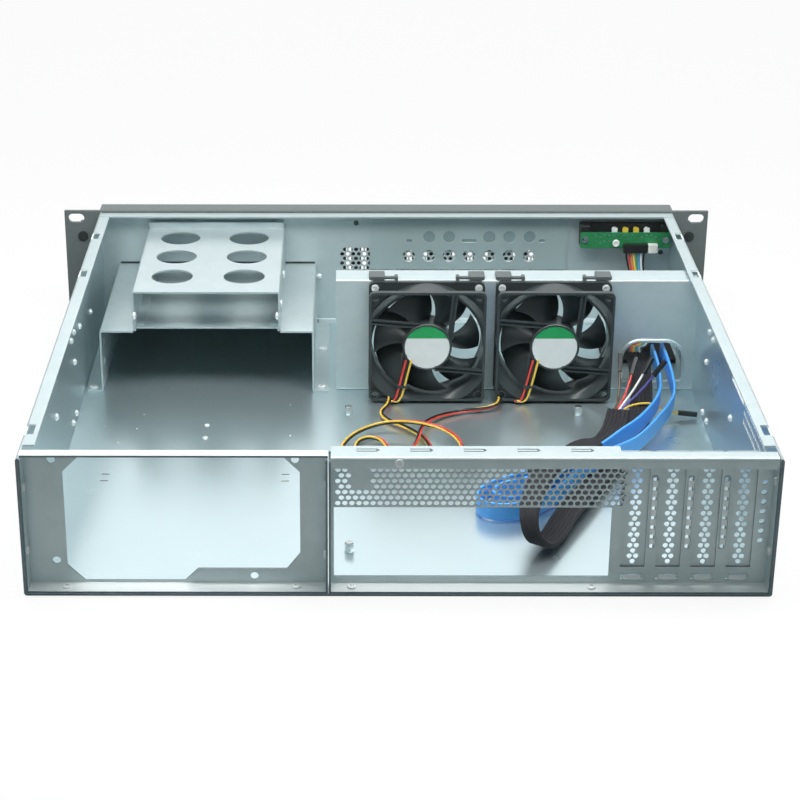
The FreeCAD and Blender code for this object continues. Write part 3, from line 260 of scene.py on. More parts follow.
# Lips and bands that stand behind a pan's plate, painted paler than the plate as painted light, where the
# lamps reach them too little.
LIPS_PAINTED_LIGHT = Finish("galvanised_steel_lips_painted_light", "#E4EBEA", "#DAE3E3", 0.38, 0.03, 0.35, grain_mm=12,
                 relief_mm=0.003)
# Knock-outs, pushed back by the press and duller than the plate round them.
KNOCKED = Finish("pressed_steel_knock_out", "#8FA4A5", "#869B9D", 0.5, 0.05, 0.5, grain_mm=4)
# Powder coat baked on steel: dull dark grey with a fine orange peel.
DARK_PAINT = Finish("powder_coated_steel", "#666F6E", "#5E6766", 0.5, grain_mm=3, relief_mm=0.02)
# Injection-moulded ABS with a spark-eroded grain, drawn at twice its real size so that it shows.
BEZEL_ABS = Finish("moulded_grey_abs", "#6F7875", "#687170", 0.48, grain_mm=2.5, relief_mm=0.02,
                   relief_grain_mm=0.6)
# Glass-filled PBT of fan frames: charcoal with a soft sheen and flow clouds.
BLACK_PBT = Finish("moulded_black_pbt", "#3A4142", "#313839", 0.36, 0.08, grain_mm=7, relief_mm=0.012)
# Black oxide on the ears' screws: dark, with a dull metal shine.
BLACK_OXIDE = Finish("black_oxide_steel", "#474D4D", "#3E4444", 0.38, 0.06, 0.7, grain_mm=1.5)
# Soft grey clips that hold the fans.
GREY_NYLON = Finish("moulded_grey_nylon", "#5F6767", "#565E5E", 0.5, grain_mm=3, relief_mm=0.012)
# Nylon connector bodies.
BLACK_NYLON = Finish("moulded_black_nylon", "#222526", "#1B1D1E", 0.45, grain_mm=2, relief_mm=0.01)
WHITE_NYLON = Finish("moulded_white_nylon", "#E3E5E1", "#D8DBD6", 0.42, grain_mm=2, relief_mm=0.008)
# Electroplated zinc on turned or headed steel: brighter and smoother than the sheet.
BRIGHT_ZINC = Finish("bright_zinc_plate", "#DDE2E2", "#CDD3D3", 0.24, 0.06, 1.0, grain_mm=1.5,
                     relief_mm=0.004)
# Barrelled zinc on rivets and screws: nearly white and satin. On the cut edges of the tray and the blanking
# plate the same finish is a painted highlight, a bright line along each edge.
ZINC_AND_EDGE_HIGHLIGHT = Finish("barrelled_zinc_and_edge_highlight", "#EDF1F1", "#E2E8E8", 0.4, 0.05, 0.35, grain_mm=1.5, relief_mm=0.004)
# Hot-tinned copper pads: bright, with a soft uneven shine.
TINNED = Finish("tinned_copper", "#E4E7E6", "#D2D6D5", 0.3, 0.08, 1.0, grain_mm=0.8)
# Lacquered glass-epoxy laminate: glossy green over faint darker copper runs.
SOLDER_MASK = Finish("green_solder_mask", "#2E8A55", "#22703F", 0.34, 0.05, coat=0.3,
                     grain=Grain.SPANGLE, grain_mm=1.6)
# A black, dull strip on the floor behind the cable arch, which darkens the view through the arch.
DARK_ARCH_STRIP = Finish("black_arch_strip", "#17191A", "#101213", 0.8, grain_mm=1.5, relief_mm=0.06)
# Printed film label: matt paper white, and one field of flat green ink.
LABEL_WHITE = Finish("label_film_white", "#DDE1E0", "#D2D7D6", 0.5, grain_mm=6, relief_mm=0.004)
LABEL_GREEN = Finish("label_ink_green", "#1E9E58", "#189450", 0.45, grain_mm=6, relief_mm=0.004)
# Diffused epoxy of unlit indicators.
LENS_WHITE = Finish("diffused_epoxy_white", "#E4E7E6", "#D6DAD9", 0.28, coat=0.4, grain_mm=2)
LENS_YELLOW = Finish("diffused_epoxy_yellow", "#D9C24A", "#C9B13C", 0.28, coat=0.4, grain_mm=2)
# Woven and dipped tube round the panel wires: nearly black, with thread ridges.
SLEEVE = Finish("black_sleeve", "#171B1A", "#101413", 0.5, shine=0.15, grain_mm=1.2, relief_mm=0.05,
                relief_grain_mm=0.9)


def pvc(name: str, colour: str, shade: str) -> Finish:
    """Extruded PVC insulation in one colour: smooth, with a waxy shine.

    Args:
        name: the colour's word.
        colour: the main colour.
        shade: the colour that it fades to.

    Returns:
        The finish.
    """
    return Finish(f"extruded_pvc_{name}", colour, shade, 0.38, 0.05, coat=0.15, grain_mm=5, relief_mm=0.006)


PVC = {name: pvc(name, colour, shade) for name, colour, shade in (
    ("red", "#D94B41", "#C63F38"), ("yellow", "#EACB55", "#DDB944"), ("black", "#212223", "#191A1B"),
    ("blue", "#55A8F2", "#4A9CE6"), ("brown", "#5E4636", "#523C2E"), ("white", "#E8E9E6", "#DADCD9"),
    ("purple", "#57519F", "#4B458F"), ("orange", "#E28A44", "#D37C38"), ("green", "#4FA069", "#43905C"),
    ("sky", "#5FA5DC", "#5297CF"))}


# Shapes

def ring(centre: Pair, radius: float, sides: int = 24, start: float = 0.0) -> Loop:
    """A circle as a loop of points."""
    return [(centre[0] + radius * math.cos(start + math.tau * side / sides),
             centre[1] + radius * math.sin(start + math.tau * side / sides)) for side in range(sides)]


def rounded(low: Pair, high: Pair, radii: Sequence[float], steps: int = 5) -> Loop:
    """A rectangle with rounded corners.

    Args:
        low: its lowest corner.
        high: its highest corner.
        radii: one radius for all corners, or four, anticlockwise from the lowest corner.
        steps: the points of a quarter turn, less one.

    Returns:
        The loop, anticlockwise.
    """
    each = list(radii) * (4 // len(radii))
    corners = ((low[0], low[1], 1, 1), (high[0], low[1], -1, 1),
               (high[0], high[1], -1, -1), (low[0], high[1], 1, -1))
    loop: Loop = []
    for turn, ((x, y, right, up), radius) in enumerate(zip(corners, each)):
        if radius <= 0:
            loop.append((x, y))
            continue
        for step in range(steps + 1):
            angle = math.pi * (1 + turn / 2) + math.pi / 2 * step / steps
            loop.append((x + right * radius + radius * math.cos(angle),
                         y + up * radius + radius * math.sin(angle)))
    return loop


def oblong(centre: Pair, length: float, width: float) -> Loop:
    """A slot with round ends.

    Args:
        centre: its middle.
        length: its length, along the first axis.
        width: its width.

    Returns:
        The loop.
    """
    low = (centre[0] - length / 2, centre[1] - width / 2)
    high = (centre[0] + length / 2, centre[1] + width / 2)
    just_short_of_round = 0.999
    return rounded(low, high, [min(length, width) / 2 * just_short_of_round])


def rectangle(x0: float, x1: float, y0: float, y1: float) -> Loop:
    """A plain rectangle as a loop."""
    return [(x0, y0), (x1, y0), (x1, y1), (x0, y1)]


def honeycomb(low: Pair, columns: int, rows: int, pitch: float) -> Loop:
    """Centres of staggered holes, every other row half a pitch across.

    Args:
        low: the first centre.
        columns: the holes in a row.
        rows: the rows.
        pitch: the distance between neighbours.

    Returns:
        The centres.
    """
    rise = pitch * math.sqrt(3) / 2
    return [(low[0] + pitch * (column + 0.5 * (row % 2)), low[1] + rise * row)
            for row in range(rows) for column in range(columns)]


def inside(points: np.ndarray, loops: Sequence[Loop]) -> np.ndarray:
    """Which points lie in an odd number of loops.

    Args:
        points: one point in each row.
        loops: closed loops.

    Returns:
        A truth value for each point.
    """
    found = np.zeros(len(points), bool)
    for loop in loops:
        starts = np.array(loop)
        ends = np.roll(starts, -1, axis=0)
        low, high = starts.min(axis=0), starts.max(axis=0)
        near = np.flatnonzero(((points >= low) & (points <= high)).all(axis=1))
        if not len(near):
            continue
        x, y = points[near, :1], points[near, 1:]
        crosses = (starts[:, 1] > y) != (ends[:, 1] > y)
        rise = np.where(starts[:, 1] == ends[:, 1], 1.0, ends[:, 1] - starts[:, 1])
        reach = starts[:, 0] + (y - starts[:, 1]) * (ends[:, 0] - starts[:, 0]) / rise
        found[near] ^= ((crosses & (x < reach)).sum(axis=1) % 2).astype(bool)
    return found


def punched(outline: Loop, holes: Sequence[Loop],
            folds: Sequence[Loop] = ()) -> tuple[Loop, list[tuple[int, ...]]]:
    """A flat blank cut into triangles.

    Args:
        outline: the blank's edge.
        holes: loops cut out of it, which may run past its edge.
        folds: lines that the triangles may not cross.

    Returns:
        The points, and the triangles of the sheet that is left.
    """
    points: list[Vector] = []
    edges: list[tuple[int, int]] = []
    for loop in (outline, *holes):
        start, count = len(points), len(loop)
        points += [Vector(point) for point in loop]
        edges += [(start + place, start + (place + 1) % count) for place in range(count)]
    for line in folds:
        edges.append((len(points), len(points) + 1))
        points += [Vector(point) for point in line]
    found, _, faces, *_ = delaunay_2d_cdt(points, edges, [], 0, CUT_TOLERANCE)
    spots = np.array([tuple(point) for point in found])
    middles = spots[np.array(faces)].mean(axis=1)
    kept = inside(middles, [outline]) & ~inside(middles, holes)
    return [tuple(point) for point in spots], [tuple(face) for face, keep in zip(faces, kept) if keep]


class Shape:
    """A mesh that is being put together from closed solids."""

    def __init__(self, edge_brush: int | None = None) -> None:
        """Start with nothing.

        Args:
            edge_brush: the finish of cut edges, if it isn't the faces' own.
        """
        self.points: list[Vector] = []
        self.faces: list[tuple[int, ...]] = []
        self.finish: list[int] = []
        self.brush = 0
        self.edge_brush = edge_brush

    def add(self, points: Sequence[Vector], faces: Sequence[Sequence[int]], edges: int = 0) -> None:
        """Take in points and faces under the finish that is on the brush.

        Args:
            points: the corners.
            faces: the faces, as places among these corners.
            edges: how many of the last faces are cut edges, which have a brush of their own.
        """
        base = len(self.points)
        self.points += [Vector(point) for point in points]
        self.faces += [tuple(base + corner for corner in face) for face in faces]
        cut = self.brush if self.edge_brush is None else self.edge_brush
        self.finish += [self.brush] * (len(faces) - edges) + [cut] * edges

    def loft(self, rings: Sequence[Sequence[Vector]], closed: bool = False) -> None:
        """Skin a row of rings with as many points each.

        Args:
            rings: the rings in order.
            closed: whether the last ring joins the first; otherwise both ends are capped.
        """
        count, size = len(rings), len(rings[0])
        faces: list[Sequence[int]] = []
        for here in range(count if closed else count - 1):
            there = (here + 1) % count
            for side in range(size):
                after = (side + 1) % size
                faces.append((here * size + side, here * size + after,
                              there * size + after, there * size + side))
        if not closed:
            faces += [range(size - 1, -1, -1), range((count - 1) * size, count * size)]
        self.add([point for each in rings for point in each], faces)

    def repaint(self, old: int, new: int, chosen: Callable[[list[Vector]], bool]) -> None:
        """Change the brush number of some faces.

        Args:
            old: the number that they have.
            new: the number that they get.
            chosen: whether a face changes, by its corners.
        """
        for place, face in enumerate(self.faces):
            if self.finish[place] == old and chosen([self.points[corner] for corner in face]):
                self.finish[place] = new

    def skin(self, triangles: Sequence[tuple[int, ...]], front: Sequence[Vector],
             back: Sequence[Vector]) -> None:
        """A sheet of two layers with walls round its edge and holes.

        Args:
            triangles: the faces of one layer.
            front: that layer's points.
            back: the other layer's points.
        """
        seen: dict[tuple[int, int], tuple[int, int] | None] = {}
        for face in triangles:
            for a, b in zip(face, (*face[1:], face[0])):
                key = (min(a, b), max(a, b))
                seen[key] = None if key in seen else (a, b)
        count = len(front)
        faces = [*triangles, *(tuple(count + corner for corner in reversed(face)) for face in triangles)]
        walls = [(b, a, count + a, count + b) for a, b in filter(None, seen.values())]
        faces += walls
        used = sorted({corner for face in faces for corner in face})
        new = {corner: place for place, corner in enumerate(used)}
        both = [*front, *back]
        self.add([both[corner] for corner in used], [tuple(new[corner] for corner in face) for face in faces],
                 len(walls))

    def plate(self, outline: Loop, holes: Sequence[Loop], lay: Lay, low: float, high: float) -> None:
        """A flat plate with holes.

        Args:
            outline: its edge.
            holes: its holes.
            lay: where a point of the plane and a depth lie in the part.
            low: the depth of one side.
            high: the depth of the other side.
        """
        spots, triangles = punched(outline, holes)
        self.skin(triangles, [lay(*spot, low) for spot in spots], [lay(*spot, high) for spot in spots])

    def block(self, low: Sequence[float], high: Sequence[float], lay: Lay = level, ease: float = 0.0) -> None:
        """A box whose upright edges are eased by a radius.

        Args:
            low: its lowest corner.
            high: its highest corner.
            lay: where its own axes lie in the part, if they aren't the part's.
            ease: the radius of the four edges along its third axis.
        """
        loop = rounded(tuple(low[:2]), tuple(high[:2]), [ease], 3)
        self.loft([[lay(*spot, depth) for spot in loop] for depth in (low[2], high[2])])

    def turned(self, profile: Loop, base: Vector, axis: Vector, sides: int,
               hollow: bool = False) -> None:
        """A form turned about an axis.

        Args:
            profile: (radius, height) points; heights run along the axis.
            base: where the axis starts.
            axis: its direction.
            sides: the facets round it.
            hollow: whether the profile is a closed loop, as a tube's wall is.
        """
        right = axis.orthogonal().normalized()
        over = axis.cross(right).normalized()
        rings = []
        for radius, height in profile:
            rings.append([base + axis.normalized() * height + right * x + over * y
                          for x, y in ring((0, 0), radius, sides)])
        self.loft(rings, hollow)

    def make(self, name: str, finishes: Sequence[Finish], slot: str, stands_for: Sequence[str] = (),
             body: str = CHASSIS, ease: float = 0.0) -> bpy.types.Object:
        """Turn the shape into a piece that rides on a body.

        Args:
            name: the piece's name.
            finishes: its finishes, in the order of the brush numbers.
            slot: the record's material slot; not used.
            stands_for: the CAD nodes that it replaces.
            body: the body that carries it.
            ease: the width of a bevel on its sharp edges.

        Returns:
            The object.
        """
        mesh = bpy.data.meshes.new(name)
        mesh.from_pydata([to_row(point) for point in self.points], [], self.faces)
        for finish in finishes:
            mesh.materials.append(finish.material())
        mesh.polygons.foreach_set("material_index", self.finish)
        work = bmesh.new()
        work.from_mesh(mesh)
        bmesh.ops.recalc_face_normals(work, faces=work.faces)
        work.to_mesh(mesh)
        work.free()
        mesh.shade_smooth()
        mesh.set_sharp_from_angle(angle=SMOOTH_ANGLE)
        item = bpy.data.objects.new(name, mesh)
        bpy.context.scene.collection.objects.link(item)
        if ease:
            soften(item, ease)
        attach(item, body)
        if stands_for:
            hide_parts(*stands_for)
        LOG.info("%s: %d faces on %s", name, len(mesh.polygons), body)
        return item


def soften(item: bpy.types.Object, width: float) -> None:
    """Round an object's sharp edges.

    Args:
        item: the object.
        width: the bevel's width, in millimetres.
    """
    bevel = item.modifiers.new("eased_edges", "BEVEL")
    bevel.width = width * MM
    bevel.segments = 2
    bevel.limit_method = "ANGLE"
    bevel.angle_limit = BEVEL_ANGLE
    bevel.harden_normals = True


def dress(name: str, finish: Finish, ease: float = 0.0) -> None:
    """Give a CAD node its finish and soft edges.

    Args:
        name: the CAD node.
        finish: what covers it.
        ease: the width of a bevel on its sharp edges, in millimetres.
    """
    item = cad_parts[name]
    item.data.materials.clear()
    item.data.materials.append(finish.material())
    if ease:
        weld = item.modifiers.new("welded_points", "WELD")
        weld.merge_threshold = MM / 1000
        soften(item, ease)
    LOG.info("%s: CAD node in %s", name, finish.name)


class Run(Enum):
    """The axis that a folded sheet's bends run along."""
    X = "x"
    Y = "y"


@dataclass
class FoldedSheet:
    """A blank of sheet metal with holes, bent along parallel folds."""
    run: Run
    section: Loop
    start: float
    end: float
    inner: int = 1
    thick: float = SHEET
    bend: float = 1.7
    holes: list[Loop] = field(default_factory=list)
    arc_steps: int = 5

    def __post_init__(self) -> None:
        """Work out the rounded section: distance along it, point, and the way to the inner skin."""
        corners = [Vector(corner) for corner in self.section]
        ways = [(b - a).normalized() for a, b in zip(corners, corners[1:])]
        sides = [Vector((-way.y, way.x)) * self.inner for way in ways]
        turns = [math.atan2(a.x * b.y - a.y * b.x, a.dot(b)) for a, b in zip(ways, ways[1:])]
        radii = [self.bend if turn * self.inner > 0 else self.bend - self.thick for turn in turns]
        trims = [0.0, *(radius * math.tan(abs(turn) / 2) for radius, turn in zip(radii, turns)), 0.0]
        self.trims = trims
        self.flat_from: list[float] = []
        self.stations: list[tuple[float, Vector, Vector]] = []
        self.folds: list[float] = []
        along = 0.0
        for face, way in enumerate(ways):
            first, last = corners[face] + way * trims[face], corners[face + 1] - way * trims[face + 1]
            self.flat_from.append(along)
            self.stations.append((along, first, sides[face]))
            along += (last - first).length
            self.stations.append((along, last, sides[face]))
            if face == len(turns):
                break
            turn, radius = turns[face], radii[face]
            outward = 1 if turn * self.inner > 0 else -1
            centre = last + sides[face] * radius * outward
            self.folds.append(along)
            for step in range(1, self.arc_steps + 1):
                angle = turn * step / self.arc_steps
                side = Vector((sides[face].x * math.cos(angle) - sides[face].y * math.sin(angle),
                               sides[face].x * math.sin(angle) + sides[face].y * math.cos(angle)))
                here = along + radius * abs(angle)
                self.folds.append(here)
                if step < self.arc_steps:
                    self.stations.append((here, centre - side * radius * outward, side))
            along += radius * abs(turn)
        self.length = along

    def punch(self, face: int, *loops: Loop) -> None:
        """Cut loops out of one flat face.

        Args:
            face: the face's number along the section.
            loops: points (place along the run, part coordinate along the face).
        """
        a, b = self.section[face], self.section[face + 1]
        axis = 0 if abs(b[0] - a[0]) > abs(b[1] - a[1]) else 1
        sign = math.copysign(1, b[axis] - a[axis])
        begin = self.flat_from[face] - self.trims[face]
        for loop in loops:
            self.holes.append([(begin + sign * (value - a[axis]), run) for run, value in loop])

    def at(self, along: float, run: float, depth: float) -> Vector:
        """A point of the bent sheet.

        Args:
            along: the distance along the section.
            run: the place along the folds.
            depth: the depth below the outer skin.

        Returns:
            The point in the part.
        """
        last = len(self.stations) - 1
        place = min(max(bisect.bisect_right(self.stations, along, key=lambda row: row[0]), 1), last)
        (low, a, from_side), (high, b, to_side) = self.stations[place - 1], self.stations[place]
        share = (along - low) / (high - low) if high > low else 0.0
        spot = a.lerp(b, share) + from_side.lerp(to_side, share).normalized() * depth
        return Vector((run, *spot)) if self.run is Run.X else Vector((spot.x, run, spot.y))

    def add_to(self, shape: Shape) -> None:
        """Cut and bend the sheet.

        Args:
            shape: what takes it.
        """
        outline = rectangle(0, self.length, self.start, self.end)
        folds = [[(fold, self.start), (fold, self.end)] for fold in self.folds]
        spots, triangles = punched(outline, self.holes, folds)
        outer, inner = ([self.at(*spot, depth) for spot in spots] for depth in (0, self.thick))
        shape.skin(triangles, outer, inner)


def screw(shape: Shape, seat: Vector, axis: Vector, radius: float, height: float) -> None:
    """A pan head with a cross recess.

    Args:
        shape: what takes it.
        seat: the middle of its underside.
        axis: the way that it faces.
        radius: the head's radius.
        height: the head's height.
    """
    skirt, arm_share, slot_share, crown_share, rim_share = 0.45, 0.62, 0.17, 0.3, 0.98
    floor = height * skirt
    arm, half = radius * arm_share, radius * slot_share
    cross = [(half, half), (arm, half), (arm, -half), (half, -half), (half, -arm), (-half, -arm),
             (-half, -half), (-arm, -half), (-arm, half), (-half, half), (-half, arm), (half, arm)]
    right = axis.orthogonal().normalized()
    over = axis.cross(right)
    shape.turned([(radius, 0), (radius, floor)], seat, axis, HEAD_SIDES)

    def domed(u: float, v: float, w: float) -> Vector:
        """A point of the head's crown, lower towards its rim."""
        fall = (u * u + v * v) / radius ** 2 * height * crown_share if w > floor else 0.0
        return seat + right * u + over * v + axis * (w - fall)

    shape.plate(ring((0, 0), radius * rim_share, HEAD_SIDES), [cross], domed, floor, height)


def rear_screws(node: str, piece: str, finish: Finish, slot: str = SLOT_BRIGHT) -> None:
    """Heads that face the rear, one for each solid of a CAD node.

    Args:
        node: the CAD node that they replace.
        piece: the name of the piece that holds them all.
        finish: what covers them.
        slot: the record's material slot.
    """
    heads = Shape()
    for low, high in islands(node):
        middle = (low + high) / 2
        seat = Vector((middle.x, high.y, middle.z))
        screw(heads, seat, TO_REAR, (high.x - low.x) / 2, high.y - low.y)
    heads.make(piece, [finish], slot, [node])


def rivet(shape: Shape, seat: Vector, axis: Vector, radius: float, height: float) -> None:
    """A domed rivet head on a wall.

    Args:
        shape: what takes it.
        seat: the middle of its underside.
        axis: the way that it faces.
        radius: the head's radius.
        height: the head's height.
    """
    steps, nearly_whole, sunk = 6, 0.97, -0.05
    profile = [(radius * math.cos(angle), height * math.sin(angle))
               for angle in (math.pi / 2 * step / steps * nearly_whole for step in range(steps + 1))]
    shape.turned([(radius, sunk), *profile], seat, axis, HEAD_SIDES)


# Sub-assemblies

@dataclass
class Tray:
    """The folded body: floor, side walls and inward top flanges of one sheet."""
    flange: float = 8.4
    flange_rear: float = 18.5
    flange_front: float = 427.0
    bend: float = 1.8
    notches: tuple[float, ...] = (33.0, 297.0, 377.0)
    notch_length: float = 14.0
    notch_inset: float = 2.6
    notch_past: float = 0.4
    vent_first: float = 44.0
    vent_rows: tuple[float, ...] = (59.2, 65.2, 71.0)
    vent_columns: int = 16
    vent_pitch: float = 4.7
    vent_radius: float = 1.8
    long_slot: Pair = (139.0, 70.0)
    long_slot_size: Pair = (42.0, 3.4)
    floor_slots: tuple[float, ...] = (-185.0, -69.0)
    floor_slot_rows: tuple[float, ...] = (150.8, 160.8)
    floor_slot_half: Pair = (2.5, 0.8)
    rivet_size: Pair = (2.3, 1.9)
    rivets_right: tuple[Pair, ...] = (
        (246.5, 66.4), (232.0, 66.5), (250.7, 43.0), (251.0, 6.0), (234.0, 6.8), (154.7, 44.0))
    rivets_left: tuple[Pair, ...] = (
        (346.5, 42.0), (284.8, 55.3), (253.7, 63.0), (239.4, 62.3), (250.4, 42.6), (246.2, 6.8),
        (229.5, 6.8), (155.2, 43.9))
    floor_studs: tuple[Triple, ...] = (
        (-124.3, 238.4, 1.8), (-124.2, 217.7, 1.8), (-193.4, 236.4, 0.5), (-171.4, 232.6, 0.5),
        (-168.8, 257.1, 0.5), (-104.6, 235.5, 0.5), (-68.7, 273.9, 0.5), (-181.9, 210.1, 0.6),
        (-67.4, 221.6, 0.6))
    stud_rise: float = 0.6
    rear_rim: float = 0.1

    def build(self) -> None:
        """Fold the tray, then set its rivets and the studs in its floor."""
        low, high = node_box("base_tray")
        # Cut edges are painted: the rear edges keep a dark finish as painted shade, and every other edge
        # takes a bright finish as a painted highlight.
        face, shaded_rear_edge, edge, flange = range(4)
        shape = Shape(shaded_rear_edge)
        self.folded(low, high).add_to(shape)
        shape.repaint(shaded_rear_edge, edge,
                      lambda corners: max(corner.y for corner in corners) > low.y + self.rear_rim)
        shape.repaint(face, flange,
                      lambda corners: min(corner.z for corner in corners) > high.z - SHEET / 2)
        shape.make("tray_skin", [SKIN_PASSED, EDGE_PAINTED_SHADE, ZINC_AND_EDGE_HIGHLIGHT, STEEL], SLOT_SHEET, ["base_tray"])
        heads = Shape()
        for side, spots in ((1, self.rivets_right), (-1, self.rivets_left)):
            for y, z in spots:
                rivet(heads, Vector((side * (high.x - SHEET), y, z)), Vector((-side, 0, 0)), *self.rivet_size)
        for x, y, radius in self.floor_studs:
            rivet(heads, Vector((x, y, SHEET)), UP, radius, radius * self.stud_rise)
        heads.make("wall_rivets", [ZINC_AND_EDGE_HIGHLIGHT], SLOT_BRIGHT)

    def folded(self, low: Vector, high: Vector) -> FoldedSheet:
        """The sheet with its cut-outs.

        Args:
            low: the tray's lowest corner.
            high: its highest corner.

        Returns:
            The sheet; its faces run from the left flange to the right one.
        """
        edge, top, past = high.x, high.z, 1
        inner = edge - self.flange
        section = [(-inner, top), (-edge, top), (-edge, 0), (edge, 0), (edge, top), (inner, top)]
        body = FoldedSheet(Run.Y, section, low.y, high.y, bend=self.bend)
        spans = [(low.y - past, self.flange_rear, inner - 2 * past, edge - self.bend),
                 (self.flange_front, high.y + past, inner - 2 * past, edge - self.bend)]
        spans += [(start, start + self.notch_length, inner + self.notch_inset, edge + self.notch_past)
                  for start in self.notches]
        for face, side in ((0, -1), (4, 1)):
            body.punch(face, *([(a, side * near), (a, side * far), (b, side * far), (b, side * near)]
                               for a, b, near, far in spans))
        body.punch(3, oblong(self.long_slot, *self.long_slot_size), *(
            ring((self.vent_first + column * self.vent_pitch, height), self.vent_radius, sides=10)
            for height in self.vent_rows for column in range(self.vent_columns)))
        across, along = self.floor_slot_half
        body.punch(2, *(rectangle(y - along, y + along, x - across, x + across)
                        for x in self.floor_slots for y in self.floor_slot_rows))
        return body


@dataclass
class RearPans:
    """The two recessed rear pans, the slot covers and the rail along the top."""
    side_edge: float = 0.8
    psu_top_edge: float = 4.0
    psu_opening: tuple[Pair, ...] = (
        (-180.8, 83.2), (-190.8, 73.2), (-190.8, 13.8), (-180.8, 3.8), (-123.0, 3.8), (-115.3, 11.5),
        (-63.9, 11.5), (-56.2, 21.5), (-56.2, 73.2), (-66.2, 83.2))
    psu_holes: tuple[Pair, ...] = ((-196.8, 16.7), (-196.8, 80.7), (-58.8, 80.7), (-82.8, 6.7))
    psu_hole_radius: float = 2.4
    aperture: Box = (-36.9, 121.85, 6.6, 51.05)
    vent_first: Pair = (-34.6, 53.4)
    vent_pitch: float = 4.02
    vent_radius: float = 1.66
    vent_count: tuple[int, int] = (41, 8)
    vent_blank: Box = (-27.5, -15.5, 63.5, 76.5)
    slot_first: float = 135.3
    slot_pitch: float = 20.32
    slot_count: int = 4
    slot_open: float = 14.0
    slot_low: float = 13.0
    slot_high: float = 79.0
    band_width: float = 4.6
    band_low: float = 24.5
    band_high: float = 71.6
    band_proud: float = 0.9
    band_slope: float = 0.8
    band_thin: float = 0.6
    band_holes: int = 8
    band_hole_radius: float = 1.4
    side_column: float = 207.7
    side_holes: tuple[float, float, int] = (30.0, 67.0, 7)
    side_hole_radius: float = 1.7
    lance_low: float = 4.6
    lance_high: float = 8.0
    lance_width: float = 13.0
    lance_proud: float = 1.9
    lance_lift: Pair = (1.1, 0.5)
    lance_sheet: float = 0.8
    lance_steps: int = 8
    cover_sheet: float = 0.9
    cover_bend: float = 1.3
    cover_rows: int = 18
    cover_foot: float = 3.0
    cover_rise: float = 3.43
    cover_half: float = 1.85
    cover_radius: float = 1.55
    rail_step: Pair = (125.0, 10.0)
    rail_slots: tuple[float, ...] = (-24.0, 6.2, 36.4, 66.6, 96.8)
    rail_slot_length: float = 11.6
    rail_slot_rows: Triple = (9.9, 11.9, 13.9)
    rail_slot_point: float = 1.6
    tongue_rows: Pair = (11.0, 12.8)
    tongue_ends: Pair = (0.2, 0.5)
    tongue_thick: float = 0.9
    lip_clear: float = 0.05

    def build(self) -> None:
        """Build both pans, the rail and the covers."""
        self.psu_pan()
        self.io_pan()
        self.rail()
        for number in range(self.slot_count):
            self.cover(number)

    def pan(self, node: str, top: Loop) -> FoldedSheet:
        """The folded plate of a pan.

        Args:
            node: the CAD node that gives its reach.
            top: the corners of its section from the plate's top on.

        Returns:
            The sheet, with the plate as face 1.
        """
        low, high = node_box(node)
        return FoldedSheet(Run.X, [(self.side_edge, low.z), (high.y, low.z), *top], low.x, high.x)

    def finish_pan(self, shape: Shape, piece: str, node: str) -> None:
        """Add a pan's upright side flanges, and give what stands behind its plate a paler finish as painted
        light.

        Args:
            shape: the pan's shape.
            piece: the name of the piece that it becomes.
            node: the CAD node that it replaces.
        """
        low, high = node_box(node)
        for x in (low.x, high.x - SHEET):
            side = rectangle(self.side_edge, high.y - SHEET, low.z + SHEET, high.z - SHEET)
            shape.plate(side, [], lambda y, z, u: Vector((u, y, z)), x, x + SHEET)
        # The lips and bands behind the plate get a paler finish: painted light.
        plate, _, lip = range(3)
        face = high.y - SHEET
        shape.repaint(plate, lip, lambda corners: max(corner.y for corner in corners) < face - self.lip_clear)
        shape.make(piece, [STEEL, EDGE_PAINTED_SHADE, LIPS_PAINTED_LIGHT], SLOT_SHEET, [node])

    def psu_pan(self) -> None:
        """The pan with the power supply's opening."""
        _, high = node_box("psu_rear_pan")
        sheet = self.pan("psu_rear_pan", [(high.y, high.z), (self.psu_top_edge, high.z)])
        holes = [ring(spot, self.psu_hole_radius, sides=20) for spot in self.psu_holes]
        sheet.punch(1, list(self.psu_opening), *holes)
        # Cut edges and hole walls take the darker edge finish, painted shade.
        shape = Shape(edge_brush=1)
        sheet.add_to(shape)
        self.finish_pan(shape, "psu_pan_skin", "psu_rear_pan")

    def io_pan(self) -> None:
        """The pan with the honeycomb, the input/output opening and the slots."""
        _, high = node_box("io_rear_pan")
        sheet = self.pan("io_rear_pan", [(high.y, high.z)])
        sheet.punch(1, rectangle(*self.aperture))
        x0, x1, z0, z1 = self.vent_blank
        centres = honeycomb(self.vent_first, *self.vent_count, self.vent_pitch)
        sheet.punch(1, *(ring((x, z), self.vent_radius, sides=10) for x, z in centres
                         if not (x0 < x < x1 and z0 < z < z1)))
        # Cut edges and hole walls take the darker edge finish, painted shade.
        shape = Shape(edge_brush=1)
        face = high.y - SHEET
        for number in range(self.slot_count):
            x = self.slot_first + number * self.slot_pitch
            half, lance = self.slot_open / 2, self.lance_width / 2
            sheet.punch(1, rectangle(x - half, x + half, self.slot_low, self.slot_high))
            sheet.punch(1, rectangle(x - lance, x + lance, self.lance_low, self.lance_high))
            self.bridge(shape, x, face)
            if number:
                self.band(shape, sheet, x - self.slot_pitch / 2, face)
        first, last, count = self.side_holes
        heights = [first + (last - first) * step / (count - 1) for step in range(count)]
        sheet.punch(1, *(ring((self.side_column, height), self.side_hole_radius, sides=14)
                         for height in heights))
        sheet.add_to(shape)
        self.finish_pan(shape, "io_pan_skin", "io_rear_pan")

    def bridge(self, shape: Shape, x: float, face: float) -> None:
        """A strip pressed out over a lance slot.

        Args:
            shape: what takes it.
            x: its middle.
            face: the y of the plate's rear face.
        """
        low, high = self.lance_low + self.lance_lift[0], self.lance_high + self.lance_lift[1]
        corners = ((0, low), (0, high), (self.lance_sheet, high), (self.lance_sheet, low))
        rings = []
        for step in range(self.lance_steps + 1):
            share = 2 * step / self.lance_steps - 1
            proud = self.lance_proud * (1 - share ** 4)
            rings.append([Vector((x + share * self.lance_width / 2, face + depth - proud, height))
                          for depth, height in corners])
        shape.loft(rings)

